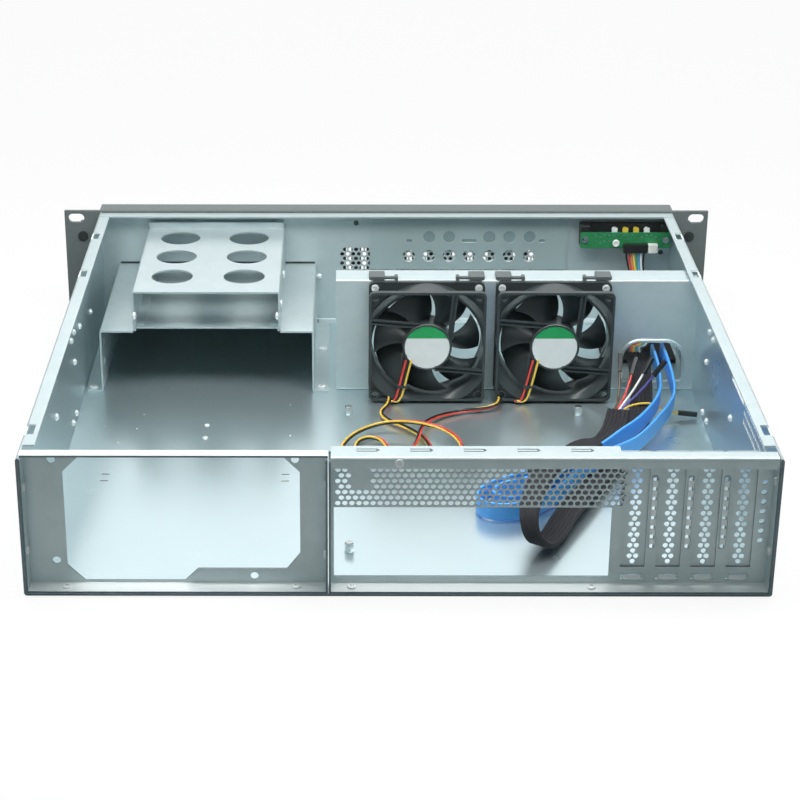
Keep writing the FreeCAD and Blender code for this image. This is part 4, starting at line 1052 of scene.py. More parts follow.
    def band(self, shape: Shape, sheet: FoldedSheet, x: float, face: float) -> None:
        """A stiffening band pressed towards the rear, with a row of holes.

        Args:
            shape: what takes it.
            sheet: the plate that it is pressed out of.
            x: its middle.
            face: the y of the plate's rear face.
        """
        half, rise = self.band_width / 2, (self.band_low + self.band_high) / 2
        length = self.band_high - self.band_low
        foot = oblong((rise, x), length, self.band_width)
        sheet.punch(1, [(u, v) for v, u in foot])
        crown = oblong((rise, x), length - 2 * self.band_slope, self.band_width - 2 * self.band_slope)
        outer = -self.band_proud
        inner = outer + SHEET * self.band_thin
        heights = [self.band_low + half + (length - 2 * half) * step / (self.band_holes - 1)
                   for step in range(self.band_holes)]
        holes = [ring((height, x), self.band_hole_radius, sides=12) for height in heights]
        shape.plate(crown, holes, lambda z, u, w: Vector((u, face + w, z)), outer, inner)
        layers = ((foot, 0.0), (crown, outer), (crown, inner), (foot, SHEET))
        shape.loft([[Vector((u, face + depth, z)) for z, u in loop] for loop, depth in layers], closed=True)

    def rail(self) -> None:
        """The rail that closes the top of the input/output side."""
        low, high = node_box("rear_rail")
        section = [(low.y, low.z), (low.y, high.z), (high.y, high.z)]
        sheet = FoldedSheet(Run.X, section, low.x, high.x, -1)
        sheet.punch(1, rectangle(self.rail_step[0], high.x + 1, self.rail_step[1], high.y + 1))
        shape = Shape()
        near, middle, far = self.rail_slot_rows
        for start in self.rail_slots:
            end = start + self.rail_slot_length
            point = (end + self.rail_slot_point, middle)
            sheet.punch(1, [(start, near), (end, near), point, (end, far), (start, far)])
            shape.block((start - self.tongue_ends[0], self.tongue_rows[0], high.z - self.tongue_thick),
                        (end - self.tongue_ends[1], self.tongue_rows[1], high.z))
        sheet.add_to(shape)
        shape.make("rail_skin", [STEEL], SLOT_SHEET, ["rear_rail"])

    def cover(self, number: int) -> None:
        """One perforated slot cover with its screw tab.

        Args:
            number: which slot, from the left.
        """
        node = f"slot_cover_{number + 1}"
        low, high = node_box(node)
        middle = (low.x + high.x) / 2
        section = [(low.y, low.z), (low.y, high.z), (high.y, high.z)]
        sheet = FoldedSheet(Run.X, section, low.x, high.x, -1, self.cover_sheet, self.cover_bend)
        for row in range(self.cover_rows):
            height = self.slot_low + self.cover_foot + row * self.cover_rise
            offsets = (0.0,) if row % 2 == 0 else (-self.cover_half, self.cover_half)
            sheet.punch(0, *(ring((middle + offset, height), self.cover_radius, sides=12)
                             for offset in offsets))
        shape = Shape()
        sheet.add_to(shape)
        shape.make(f"cover_skin_{number + 1}", [STEEL], SLOT_SHEET, [node])


@dataclass
class Front:
    """The steel front panel with its plates, and the rack plate, bezel, handles and buttons before it."""
    bay: Box = (-200.6, -53.6, 3.2, 48.6)
    led_window: Box = (152.0, 205.0, 70.0, 76.0)
    field_low: Pair = (-33.0, 40.0)
    field_count: tuple[int, int] = (40, 6)
    field_pitch: float = 4.2
    field_radius: float = 1.6
    small_holes: tuple[Pair, ...] = ((-22.4, 79.3), (207.3, 56.1))
    small_hole_radius: float = 2.0
    rivet_spot: Pair = (-50.5, 36.8)
    rivet_size: Pair = (2.2, 1.7)
    blank_first: float = 29.4
    blank_pitch: float = 15.1
    blank_columns: int = 7
    blank_rows: Pair = (10.6, 25.6)
    blank_radius: float = 4.6
    blank_corner: float = 1.5
    blank_ease: float = 0.4
    blank_sides: int = 28
    knocked_gap: float = 0.12
    knocked_depth: Pair = (0.45, 0.3)
    marked: tuple[int, ...] = (0, 3)
    marks: tuple[tuple[int, float, float], ...] = ((0, 0.0, 4.4), (3, 0.0, 11.5), (6, 9.6, 4.4))
    mark_drop: float = 3.0
    mark_height: float = 2.6
    mark_depth: Pair = (0.5, 0.3)
    button_radii: tuple[tuple[str, float], ...] = (("power", 6.0), ("reset", 3.5))
    button_seat: Triple = (1.5, 2.5, 0.3)
    button_stem: float = 1.8
    collar: float = 1.5
    collar_wide: float = 1.4
    cap_rim: tuple[Pair, ...] = ((-0.05, -0.7), (-0.5, -0.15), (-1.0, 0.0))
    cap_dish: tuple[Pair, ...] = ((0.6, -0.35), (0.2, -0.5))

    def build(self) -> None:
        """Build the panel and dress what is fixed to it."""
        self.panel()
        self.blanking_plate()
        dress("front_plate", DARK_PAINT)
        dress("front_bezel", BEZEL_ABS, ease=0.4)
        dress("bay_cover", BEZEL_ABS, ease=0.8)
        for side in ("left", "right"):
            dress(f"handle_{side}", DARK_PAINT, ease=1.4)
        dress("button_switches", BLACK_NYLON, ease=0.4)
        rear_screws("handle_screws", "handle_screw_heads", BLACK_OXIDE, "dark_painted_steel")
        for name, radius in self.button_radii:
            self.button(name, radius)

    def panel(self) -> None:
        """The inner steel panel with its flanges and openings."""
        low, high = node_box("front_panel")
        section = [(low.y, low.z), (high.y, low.z), (high.y, high.z), (low.y, high.z)]
        sheet = FoldedSheet(Run.X, section, low.x, high.x)
        sheet.punch(1, rectangle(*self.bay), rectangle(*self.led_window))
        centres = honeycomb(self.field_low, *self.field_count, self.field_pitch)
        sheet.punch(1, *(ring(spot, self.field_radius, sides=10) for spot in centres))
        sheet.punch(1, *(ring(spot, self.small_hole_radius, sides=14) for spot in self.small_holes))
        shape = Shape()
        sheet.add_to(shape)
        shape.brush = 1
        x, z = self.rivet_spot
        rivet(shape, Vector((x, high.y - SHEET, z)), TO_REAR, *self.rivet_size)
        shape.make("front_panel_skin", [STEEL, ZINC_AND_EDGE_HIGHLIGHT], SLOT_SHEET, ["front_panel"])

    def blanking_plate(self) -> None:
        """The plate with an open row of round holes under a row of knock-outs."""
        low, high = node_box("bay_blanking_plate")
        lower, upper = (low.z + rise for rise in self.blank_rows)
        columns = [low.x + self.blank_first + step * self.blank_pitch for step in range(self.blank_columns)]
        knocked = [(x, upper) for step, x in enumerate(columns) if step not in self.marked]
        holes = [ring(spot, self.blank_radius, self.blank_sides)
                 for spot in (*((x, lower) for x in columns), *knocked)]
        marks = [oblong((columns[step] + shift, upper - self.mark_drop), length, self.mark_height)
                 for step, shift, length in self.marks]
        outline = rounded((low.x, low.z), (high.x, high.z), [self.blank_corner])
        # Its cut edges and hole rims take the bright zinc finish as a painted highlight.
        shape = Shape(edge_brush=2)
        shape.plate(outline, [*holes, *marks], upright, low.y, high.y)
        shape.brush, shape.edge_brush = 1, None
        discs = [ring(spot, self.blank_radius - self.knocked_gap, self.blank_sides) for spot in knocked]
        for loops, (near, far) in ((discs, self.knocked_depth), (marks, self.mark_depth)):
            for loop in loops:
                shape.plate(loop, [], upright, low.y + near, high.y + far)
        shape.make("blanking_plate_skin", [ZINC_PLATE, KNOCKED, ZINC_AND_EDGE_HIGHLIGHT], SLOT_SHEET,
                   ["bay_blanking_plate"], ease=self.blank_ease)

    def button(self, name: str, radius: float) -> None:
        """A moulded push button with a dished face, collar and stem.

        Args:
            name: power or reset.
            radius: the radius of its face.
        """
        low, high = node_box(f"{name}_button")
        middle = (low + high) / 2
        proud, wall, play = self.button_seat
        collar = high.y - proud - wall - play - self.collar
        wide, barrel = radius + self.collar_wide, radius + self.cap_rim[0][0]
        profile = [(self.button_stem, low.y), (self.button_stem, collar), (wide, collar),
                   (wide, collar + self.collar), (barrel, collar + self.collar)]
        profile += [(radius + inset, high.y + fall) for inset, fall in self.cap_rim]
        profile += [(radius * share, high.y + fall) for share, fall in self.cap_dish]
        shape = Shape()
        shape.turned(profile, Vector((middle.x, 0, middle.z)), TO_FRONT, sides=40)
        shape.make(f"{name}_button_cap", [BLACK_PBT], SLOT_BLACK, [f"{name}_button"], f"{name}_key")


@dataclass
class DriveBrackets:
    """The wide bracket on the floor and the disk bracket on its top."""
    foot: float = 10.0
    foot_front: float = 428.0
    notch: Pair = (-178.2, -75.8)
    notch_depth: float = 8.0
    slot_rows: Pair = (18.9, 32.7)
    slot_from_rear: float = 13.5
    slot_size: Pair = (9.0, 3.4)
    tabs: tuple[Pair, ...] = ((-208.0, 301.0), (-47.0, 374.0), (-47.0, 302.0))
    tab_screw: Pair = (3.0, 1.7)
    disk_foot: float = 7.0
    disk_foot_start: float = 10.0
    disk_lip: float = 5.0
    lip_inset: float = 0.6
    hole_radius: float = 14.5
    hole_first: float = 31.5
    hole_pitch: Pair = (50.6, 41.5)
    hole_lines: int = 3
    outer_screws: Pair = (16.0, 76.0)
    outer_screw: Pair = (2.9, 1.6)
    inner_screws: Pair = (292.5, 60.0)
    inner_screw: Pair = (2.6, 2.0)
    lip_sunk: float = 0.2
    lip_ease: float = 0.4
    past: float = 1.0

    def build(self) -> None:
        """Fold both brackets and set the screws between them."""
        low, high = node_box("drive_bay_bracket")
        left, right, foot = low.x + self.foot, high.x - self.foot, low.z + SHEET
        section = [(low.x, foot), (left, foot), (left, high.z),
                   (right, high.z), (right, foot), (high.x, foot)]
        sheet = FoldedSheet(Run.Y, section, low.y, high.y, -1)
        clear, end = 2 * self.past, high.y + self.past
        sheet.punch(0, rectangle(self.foot_front, end, low.x - self.past, left - clear))
        sheet.punch(4, rectangle(self.foot_front, end, right + clear, high.x + self.past))
        sheet.punch(2, rectangle(low.y - self.past, low.y + self.notch_depth, *self.notch))
        slots = [oblong((low.y + self.slot_from_rear, z), *self.slot_size) for z in self.slot_rows]
        for face in (1, 3):
            sheet.punch(face, *slots)
        shape = Shape()
        sheet.add_to(shape)
        shape.make("drive_bracket_skin", [STEEL], SLOT_SHEET, ["drive_bay_bracket"])
        heads = Shape()
        for x, y in self.tabs:
            screw(heads, Vector((x, y, foot)), UP, *self.tab_screw)
        heads.make("bracket_floor_screws", [ZINC_AND_EDGE_HIGHLIGHT], SLOT_BRIGHT)
        self.disk_bracket()

    def disk_bracket(self) -> None:
        """The upper bracket with six round openings and its end lip."""
        low, high = node_box("disk_bracket")
        top = high.z - self.disk_lip
        section = [(low.x + self.disk_foot, low.z), (low.x, low.z), (low.x, top), (high.x, top),
                   (high.x, low.z), (high.x - self.disk_foot, low.z)]
        sheet = FoldedSheet(Run.Y, section, low.y, high.y, -1)
        reach, clear = self.disk_foot + self.past, 2 * self.past
        start, end = low.y - self.past, low.y + self.disk_foot_start
        sheet.punch(0, rectangle(start, end, low.x + clear, low.x + reach))
        sheet.punch(4, rectangle(start, end, high.x - reach, high.x - clear))
        middle, half = (low.x + high.x) / 2, self.hole_pitch[0] / 2
        for line in range(self.hole_lines):
            y = low.y + self.hole_first + line * self.hole_pitch[1]
            sheet.punch(2, *(ring((y, middle + side * half), self.hole_radius, sides=48) for side in (-1, 1)))
        shape = Shape()
        sheet.add_to(shape)
        shape.block((low.x + self.lip_inset, high.y - SHEET, top - self.lip_sunk),
                    (high.x - self.lip_inset, high.y, high.z), ease=self.lip_ease)
        shape.make("disk_bracket_skin", [STEEL], SLOT_SHEET, ["disk_bracket"])
        heads = Shape()
        for side, x in ((-1, low.x), (1, high.x)):
            outward = Vector((side, 0, 0))
            for y in self.outer_screws:
                screw(heads, Vector((x, low.y + y, (low.z + top) / 2)), outward, *self.outer_screw)
            screw(heads, Vector((x - side * SHEET, *self.inner_screws)), -outward, *self.inner_screw)
        heads.make("bracket_screws", [ZINC_AND_EDGE_HIGHLIGHT], SLOT_BRIGHT)


@dataclass
class FanWall:
    """The partition behind the fans, with its cable arch and the clips on its top."""
    foot: float = 11.0
    arch: Box = (164.0, 205.0, 9.8, 37.5)
    arch_rounds: Pair = (2.0, 12.0)
    arch_steps: int = 8
    rim: tuple[Pair, ...] = ((0.0, 1.1), (0.0, -0.9), (0.7, -1.3), (1.8, -1.0), (2.6, 0.1))
    bore_radius: float = 38.2
    strip: Pair = (350.0, 389.0)
    strip_past: Pair = (7.0, 5.0)
    strip_thick: float = 3.0
    strip_ease: float = 1.0
    clip_share: float = 0.55
    clip_eases: Triple = (1.0, 0.6, 0.8)
    arm_ends: Pair = (1.0, 0.6)
    arm_rows: Pair = (1.2, 4.2)
    arm_drop: float = 0.7
    hook_width: float = 2.4
    hook_rows: Pair = (0.4, 5.4)
    leg_depth: float = 0.2
    leg_reach: Pair = (4.0, 0.4)
    clip_bevel: float = 0.25

    def build(self, fans: Sequence[Pair]) -> None:
        """Build the wall, the arch's rim and the clips.

        Args:
            fans: the centres of the fans, (x, z).
        """
        low, high = node_box("fan_wall")
        section = [(low.y + self.foot, low.z), (low.y, low.z), (low.y, high.z), (high.y, high.z)]
        sheet = FoldedSheet(Run.X, section, low.x, high.x, -1)
        sheet.punch(1, self.opening(0.0), *(ring(centre, self.bore_radius, sides=64) for centre in fans))
        shape = Shape()
        sheet.add_to(shape)
        shape.loft([[Vector((x, low.y + proud, z)) for x, z in self.opening(grow)]
                    for grow, proud in self.rim], closed=True)
        shape.make("fan_wall_skin", [STEEL], SLOT_SHEET, ["fan_wall"])
        # A black strip on the floor behind the arch darkens the view through it.
        strip = Shape()
        near, far = self.strip
        strip.block((self.arch[0] - self.strip_past[0], near, SHEET),
                    (self.arch[1] + self.strip_past[1], far, SHEET + self.strip_thick), ease=self.strip_ease)
        strip.make("dark_strip_behind_arch", [DARK_ARCH_STRIP], SLOT_BLACK)
        self.clips()

    def opening(self, grow: float) -> Loop:
        """The cable arch's outline.

        Args:
            grow: how far outside the arch it runs.

        Returns:
            The outline.
        """
        x0, x1, z0, z1 = self.arch
        foot, crown = (radius + grow for radius in self.arch_rounds)
        radii = [foot, foot, crown, crown]
        return rounded((x0 - grow, z0 - grow), (x1 + grow, z1 + grow), radii, self.arch_steps)

    def clips(self) -> None:
        """The moulded clips that hold each fan's top corners."""
        shape = Shape()
        block_ease, arm_ease, hook_ease = self.clip_eases
        for place, (low, high) in enumerate(islands("fan_clips")):
            inward = 1 if place % 2 == 0 else -1
            near, far = (low.x, high.x) if inward > 0 else (high.x, low.x)
            reach = near + inward * (high.x - low.x) * self.clip_share
            a, b = sorted((near, reach))
            shape.block((a, low.y, low.z), (b, high.y, high.z), ease=block_ease)
            a, b = sorted((reach - inward * self.arm_ends[0], far - inward * self.arm_ends[1]))
            shape.block((a, low.y + self.arm_rows[0], low.z),
                        (b, low.y + self.arm_rows[1], high.z - self.arm_drop), ease=arm_ease)
            a, b = sorted((far - inward * self.hook_width, far))
            shape.block((a, low.y + self.hook_rows[0], low.z), (b, low.y + self.hook_rows[1], high.z),
                        ease=hook_ease)
            shape.block((a, low.y - self.leg_depth, low.z - self.leg_reach[0]),
                        (b, low.y, high.z - self.leg_reach[1]))
        shape.make("fan_clip_set", [GREY_NYLON], SLOT_BLACK, ["fan_clips"], ease=self.clip_bevel)


@dataclass
class Fan:
    """One 80 mm fan: frame with struts and hub, label, hub wires and a seven-bladed wheel."""
    side: str
    flange: float = 4.0
    rim: float = 1.7
    pocket: float = 2.4
    mouth_radius: float = 45.4
    mouth_sides: int = 96
    mouth_start: float = 0.5
    mouth_depth: float = 6.0
    mouth_steps: int = 5
    mouth_play: float = 0.05
    tube_short: float = 0.1
    tube_lap: float = 0.2
    corner: float = 4.0
    bore: float = 38.2
    ring_wall: float = 1.4
    hole_pitch: float = 71.5
    hole_radius: float = 2.2
    boss_wall: float = 1.3
    boss_proud: float = 1.1
    hub: float = 17.0
    hub_depth: float = 3.9
    hub_lip: tuple[Pair, ...] = ((-1.6, 0.5), (-1.2, 0.05), (-0.4, 0.05), (0.0, 0.5))
    strut_start: Pair = (-5.5, -1.4)
    strut_end: Pair = (-0.25, 1.6)
    strut_ribs: tuple[Box, ...] = ((1.5, 3.4, 1.9, 0.0), (0.15, 2.2, 0.5, -1.4), (0.15, 2.2, 0.5, 1.4))
    strut_taper: float = 0.7
    strut_flare: Pair = (1.0, 1.15)
    label: float = 15.4
    label_split: float = 6.6
    label_depth: Pair = (0.3, 0.6)
    label_steps: int = 40
    wire_shifts: Triple = (-1.8, 0.0, 1.8)
    wire_radius: float = 0.8
    wire_route: tuple[Box, ...] = (
        (-12.6, -9.4, 0.3, 1.0), (-14.2, -16, -0.5, 1.0), (-16.0, -24, -0.7, 1.0), (-17.8, -32, -0.7, 1.0),
        (-19.6, -38.2, -0.8, 1.0), (-22.5, -40.4, -1.2, 0.6), (-25.8, -39.2, -1.2, 0.4))
    wire_clip: tuple[Triple, Triple] = ((-20.6, -29.6, -1.9), (-13.4, -27.9, 2.4))
    shaft: Pair = (1.9, 3.0)
    wheel_hub: float = 16.2
    wheel_round: tuple[Pair, ...] = ((0.0, -2.0), (-0.6, -0.6), (-2.0, 0.0))
    blades: int = 7
    blade_root: float = 0.8
    blade_tip: float = 36.7
    blade_turn: float = 47.0
    blade_lean: float = 13.0
    blade_rise: float = 13.5
    blade_camber: float = 1.6
    blade_thick: float = 1.3
    blade_edge: float = 0.06
    blade_wash: Pair = (1.06, 0.16)
    blade_spans: int = 8
    blade_chords: int = 12

    def __post_init__(self) -> None:
        """Take the fan's place from its CAD frame."""
        low, high = node_box(f"fan_{self.side}_frame")
        self.half = (high.x - low.x) / 2
        self.centre = ((low.x + high.x) / 2, (low.z + high.z) / 2)
        self.rear, self.front = low.y, high.y

    def lay(self, u: float, v: float, y: float) -> Vector:
        """A point given across and up from the fan's middle, at a depth from its rear."""
        return Vector((self.centre[0] + u, self.rear + y, self.centre[1] + v))

    def build(self) -> None:
        """Build every piece of the fan."""
        self.frame()
        self.wheel()
        self.dress_hub()

    def mouth(self, depth: float, share: float) -> list[Vector]:
        """A ring of the bell mouth, from the arcs that cut the frame's corners down to the bore.

        Args:
            depth: its distance from the frame's rear.
            share: 0 at the mouth's edge, 1 at the bore.

        Returns:
            The ring's points.
        """
        reach = self.half - self.rim - self.mouth_play
        points = []
        for u, v in ring((0, 0), 1.0, self.mouth_sides):
            edge = min(self.mouth_radius, reach / max(abs(u), abs(v)))
            radius = edge + (self.bore - edge) * share
            points.append(self.lay(u * radius, v * radius, depth))
        return points

    def frame(self) -> None:
        """The moulded frame: rim, corner pockets, bell mouth, front flange, struts and hub."""
        depth, half, shape = self.front - self.rear, self.half, Shape()
        square = rounded((-half, -half), (half, half), [self.corner])
        inset = half - self.rim
        inner = rounded((-inset, -inset), (inset, inset), [self.corner - self.rim])
        offset = self.hole_pitch / 2
        corners = [(x * offset, z * offset) for x in (-1, 1) for z in (-1, 1)]
        bore = ring((0, 0), self.bore, self.mouth_sides)
        holes = [ring(spot, self.hole_radius, sides=16) for spot in corners]
        shape.plate(square, [inner], self.lay, 0, self.flange)
        edge = [(spot.x - self.centre[0], spot.z - self.centre[1]) for spot in self.mouth(0, 0)]
        shape.plate(inner, [edge, *holes], self.lay, self.pocket, self.flange)
        shape.plate(square, [bore, *holes], self.lay, depth - self.flange, depth)
        self.bell(shape, depth - self.tube_short)
        hole, start = self.hole_radius, self.pocket - self.boss_proud
        boss = hole + self.boss_wall
        wall = [(hole, start), (hole, self.flange), (boss, self.flange), (boss, start)]
        for u, v in corners:
            shape.turned(wall, self.lay(u, v, 0), TO_FRONT, sides=20, hollow=True)
        cup = [(self.hub + inset, depth) for inset, depth in self.hub_lip]
        shape.turned([*cup, (self.hub, self.hub_depth)], self.lay(0, 0, 0), TO_FRONT, sides=64)
        for turn in range(4):
            self.strut(shape, turn)
        shape.make(f"fan_{self.side}_moulding", [BLACK_PBT], SLOT_BLACK, [f"fan_{self.side}_frame"])

    def bell(self, shape: Shape, end: float) -> None:
        """The bell mouth and the tube round the bore.

        Args:
            shape: what takes it.
            end: the depth where the tube ends.
        """
        shares = [step / self.mouth_steps for step in range(self.mouth_steps + 1)]
        rings = [self.mouth(self.mouth_start + self.mouth_depth * share, 1 - (1 - share) ** 2)
                 for share in shares]
        rings.append(self.mouth(end, 1))
        outer = ring((0, 0), self.bore + self.ring_wall, self.mouth_sides)
        rings += [[self.lay(u, v, y) for u, v in outer] for y in (end, self.flange + self.tube_lap)]
        rings.append(self.mouth(self.flange, 0))
        shape.loft(rings, closed=True)

    def strut(self, shape: Shape, turn: int) -> None:
        """One of the four struts that leave the hub as tangents.

        Args:
            shape: what takes it.
            turn: its number; the first runs to the left from the hub's top.
        """
        def turned(u: float, v: float) -> Pair:
            """A point after so many quarter turns clockwise."""
            for _ in range(turn):
                u, v = v, -u
            return u, v

        start = Vector((self.strut_start[0], self.hub + self.strut_start[1]))
        end = Vector((self.strut_end[0] - self.bore, self.hub + self.strut_end[1]))
        over = Vector((start - end).orthogonal()).normalized()
        for low, high, width, shift in self.strut_ribs:
            thin = width * self.strut_taper
            loop = [(-width, low), (width, low), (thin, high), (-thin, high)]
            rings = []
            for spot, grow in zip((start, end), self.strut_flare):
                rings.append([self.lay(*turned(*(spot + over * (shift + a * grow))), y) for a, y in loop])
            shape.loft(rings)

    def wheel(self) -> None:
        """The turning wheel: hub cup and swept blades."""
        low, high = node_box(f"fan_{self.side}_rotor")
        shape = Shape()
        radius, length = self.shaft
        back, last = low.y - self.rear, high.y - self.rear
        first, hub = back + length, self.wheel_hub
        cup = [(radius, back), (radius, first), (hub, first)]
        cup += [(hub + inset, last + fall) for inset, fall in self.wheel_round]
        shape.turned(cup, self.lay(0, 0, 0), TO_FRONT, sides=56)
        for number in range(self.blades):
            self.blade(shape, math.tau * number / self.blades, (first + last) / 2)
        shape.make(f"fan_{self.side}_wheel_blades", [BLACK_PBT], SLOT_BLACK, [f"fan_{self.side}_rotor"],
                   f"fan_{self.side}_wheel")

    def blade(self, shape: Shape, base: float, middle: float) -> None:
        """One swept and cambered blade.

        Args:
            shape: what takes it.
            base: the angle of its root.
            middle: the depth of its middle.
        """
        rings = []
        for step in range(self.blade_spans + 1):
            share = step / self.blade_spans
            radius = self.wheel_hub - self.blade_root
            radius += (self.blade_tip - self.wheel_hub + self.blade_root) * share
            upper, lower = [], []
            for place in range(self.blade_chords + 1):
                chord = place / self.blade_chords - 0.5
                angle = base + math.radians(self.blade_lean * share ** 2 - self.blade_turn * chord)
                round_off = 1 - 4 * chord * chord
                wash = self.blade_wash[0] - self.blade_wash[1] * share
                depth = middle + self.blade_rise * chord * wash - self.blade_camber * round_off
                thick = self.blade_thick / 2 * math.sqrt(max(self.blade_edge, round_off))
                u, v = radius * math.cos(angle), radius * math.sin(angle)
                upper.append(self.lay(u, v, depth - thick))
                lower.append(self.lay(u, v, depth + thick))
            rings.append(upper + lower[::-1])
        shape.loft(rings)

    def arc(self, start: float, sweep_angle: float) -> Loop:
        """Points of the label's edge from an angle on."""
        angles = (start + sweep_angle * step / self.label_steps for step in range(self.label_steps + 1))
        return [(self.label * math.cos(angle), self.label * math.sin(angle)) for angle in angles]

    def dress_hub(self) -> None:
        """The two-colour label and the wires that leave the hub along a strut."""
        split = math.asin(self.label_split / self.label)
        fields = (self.arc(math.pi - split, math.pi + 2 * split), self.arc(split, math.pi - 2 * split))
        shape = Shape()
        for brush, loop in enumerate(fields):
            shape.brush = brush
            shape.plate(loop, [], self.lay, *self.label_depth)
        shape.make(f"fan_{self.side}_label", [LABEL_WHITE, LABEL_GREEN], SLOT_WHITE)
        wires = Shape()
        for brush, shift in enumerate(self.wire_shifts):
            wires.brush = brush
            line = spline_points([self.lay(u + shift * share, v, y) for u, v, y, share in self.wire_route])
            sweep(wires, frames(line, Vector((1, 0, 0)), Rest.FREE), ring((0, 0), self.wire_radius, sides=10))
        wires.make(f"fan_{self.side}_hub_wires", [PVC["red"], PVC["black"], PVC["yellow"]], "lead_insulation")
        clip = Shape()
        clip.block(*self.wire_clip, self.lay, ease=0.3)
        clip.make(f"fan_{self.side}_wire_clip", [BLACK_PBT], SLOT_BLACK)


@dataclass
class IndicatorBoard:
    """The small board behind the front panel with its holder, lamps, header and screws."""
    corner: float = 0.8
    white_lamps: tuple[int, ...] = (0, 3)
    lamp_foot: float = 1.2
    lamp_body: float = 0.9
    lamp_dome: tuple[Pair, ...] = ((0.66, -0.4), (0.25, 0.0))
    header_ways: int = 8
    header_first: float = 2.2
    header_pitch: float = 1.94
    header_half: Pair = (0.6, 0.9)
    header_mouth: float = 2.4
    header_key: tuple[Triple, Triple] = ((5.5, -0.5, 3.2), (-5.5, 0.2, -0.8))
    header_ease: float = 0.5
    socket_ease: float = 0.4
    can_round: float = 0.4
    can_well: Triple = (0.45, 0.4, 0.5)
    can_vent: float = 0.3
    socket_ways: int = 3
    socket_first: float = 1.6
    socket_pitch: float = 1.9
    socket_half: Pair = (0.55, 1.2)
    socket_mouth: float = 1.4
    pads: int = 14
    pad_margin: float = 11.0
    pad_rows: Pair = (2.0, 1.5)
    pad: tuple[Triple, Triple] = ((-0.7, -0.12, -0.45), (0.7, 0.1, 0.45))
    joint: tuple[Triple, Triple] = ((-0.5, -0.35, -5.2), (0.9, 0.1, -4.3))
    joints: int = 6

    def build(self) -> None:
        """Build every piece of the board."""
        low, high = node_box("led_board")
        shape = Shape()
        shape.plate(rounded((low.x, low.z), (high.x, high.z), [self.corner]), [], upright, low.y, high.y)
        shape.make("board_laminate", [SOLDER_MASK], "board_green", ["led_board"])
        self.header()
        self.white_parts()
        self.tinned_pads(low, high)
        dress("led_holder", BLACK_NYLON, ease=0.4)
        self.lamps()
        rear_screws("board_screws", "board_screw_heads", BRIGHT_ZINC)

    def lamps(self) -> None:
        """The domed indicators on their square feet."""
        shape = Shape()
        for number, (a, b) in enumerate(islands("status_leds")):
            shape.brush = 0 if number in self.white_lamps else 1
            middle, radius, deep = (a + b) / 2, (b.x - a.x) / 2, b.y - a.y
            shape.block((a.x, a.z, a.y), (b.x, b.z, a.y + self.lamp_foot), upright, ease=0.4)
            body = radius * self.lamp_body
            dome = [(body, self.lamp_foot), (body, deep - self.lamp_foot)]
            dome += [(radius * share, deep + fall) for share, fall in self.lamp_dome]
            shape.turned(dome, Vector((middle.x, a.y, middle.z)), TO_FRONT, sides=24)
        shape.make("indicator_lamps", [LENS_WHITE, LENS_YELLOW], "led_plastic", ["status_leds"])

    def header(self) -> None:
        """The black header that takes the ribbon."""
        a, b = node_box("pin_header")
        wide, deep = self.header_half
        y = (a.y + b.y) / 2
        spots = [a.x + self.header_first + step * self.header_pitch for step in range(self.header_ways)]
        ways = [rectangle(x - wide, x + wide, y - deep, y + deep) for x in spots]
        mouth = a.z + self.header_mouth
        shape = Shape()
        ease = self.header_ease
        shape.plate(rounded((a.x, a.y), (b.x, b.y), [ease]), ways, level, a.z, mouth)
        shape.block((a.x, a.y, mouth), tuple(b), ease=ease)
        (left, rear, under), (right, front, over) = self.header_key
        shape.block((a.x + left, a.y + rear, a.z + under), (b.x + right, a.y + front, b.z + over), ease=0.2)
        shape.make("wire_header", [BLACK_NYLON], SLOT_BLACK, ["pin_header"])

    def white_parts(self) -> None:
        """The round sounder and the white socket."""
        (a, b), (low, high) = islands("board_parts")
        parts = Shape()
        middle, radius, deep = (a + b) / 2, (b.x - a.x) / 2, b.y - a.y
        mouth, foot, sunk = self.can_well
        can = [(radius, 0), (radius, deep - self.can_round), (radius - self.can_round, deep),
               (radius * mouth, deep), (radius * foot, deep - sunk), (self.can_vent, deep - sunk)]
        parts.turned(can, Vector((middle.x, b.y, middle.z)), TO_REAR, sides=28)
        wide, tall = self.socket_half
        y = (low.y + high.y) / 2
        spots = [low.x + self.socket_first + step * self.socket_pitch for step in range(self.socket_ways)]
        ways = [rectangle(x - wide, x + wide, y - tall, y + tall) for x in spots]
        mouth = high.z - self.socket_mouth
        ease = self.socket_ease
        parts.plate(rounded((low.x, low.y), (high.x, high.y), [ease]), ways, level, low.z, mouth)
        parts.block((low.x, low.y, mouth), tuple(high), ease=ease)
        parts.make("board_white_parts", [WHITE_NYLON], SLOT_WHITE, ["board_parts"])

    def tinned_pads(self, low: Vector, high: Vector) -> None:
        """The soldered pads along the board's top.

        Args:
            low: the board's lowest corner.
            high: its highest corner.
        """
        shape = Shape()
        drop, stagger = self.pad_rows
        for step in range(self.pads):
            x = low.x + self.pad_margin + step * (high.x - low.x - 2 * self.pad_margin) / (self.pads - 1)
            spot = (x, low.y, high.z - drop - stagger * (step % 3 == 1))
            for box in (self.pad, self.joint) if step < self.joints else (self.pad,):
                shape.block(*(tuple(map(sum, zip(spot, corner))) for corner in box))
        shape.make("board_pads", [TINNED], SLOT_BRIGHT)


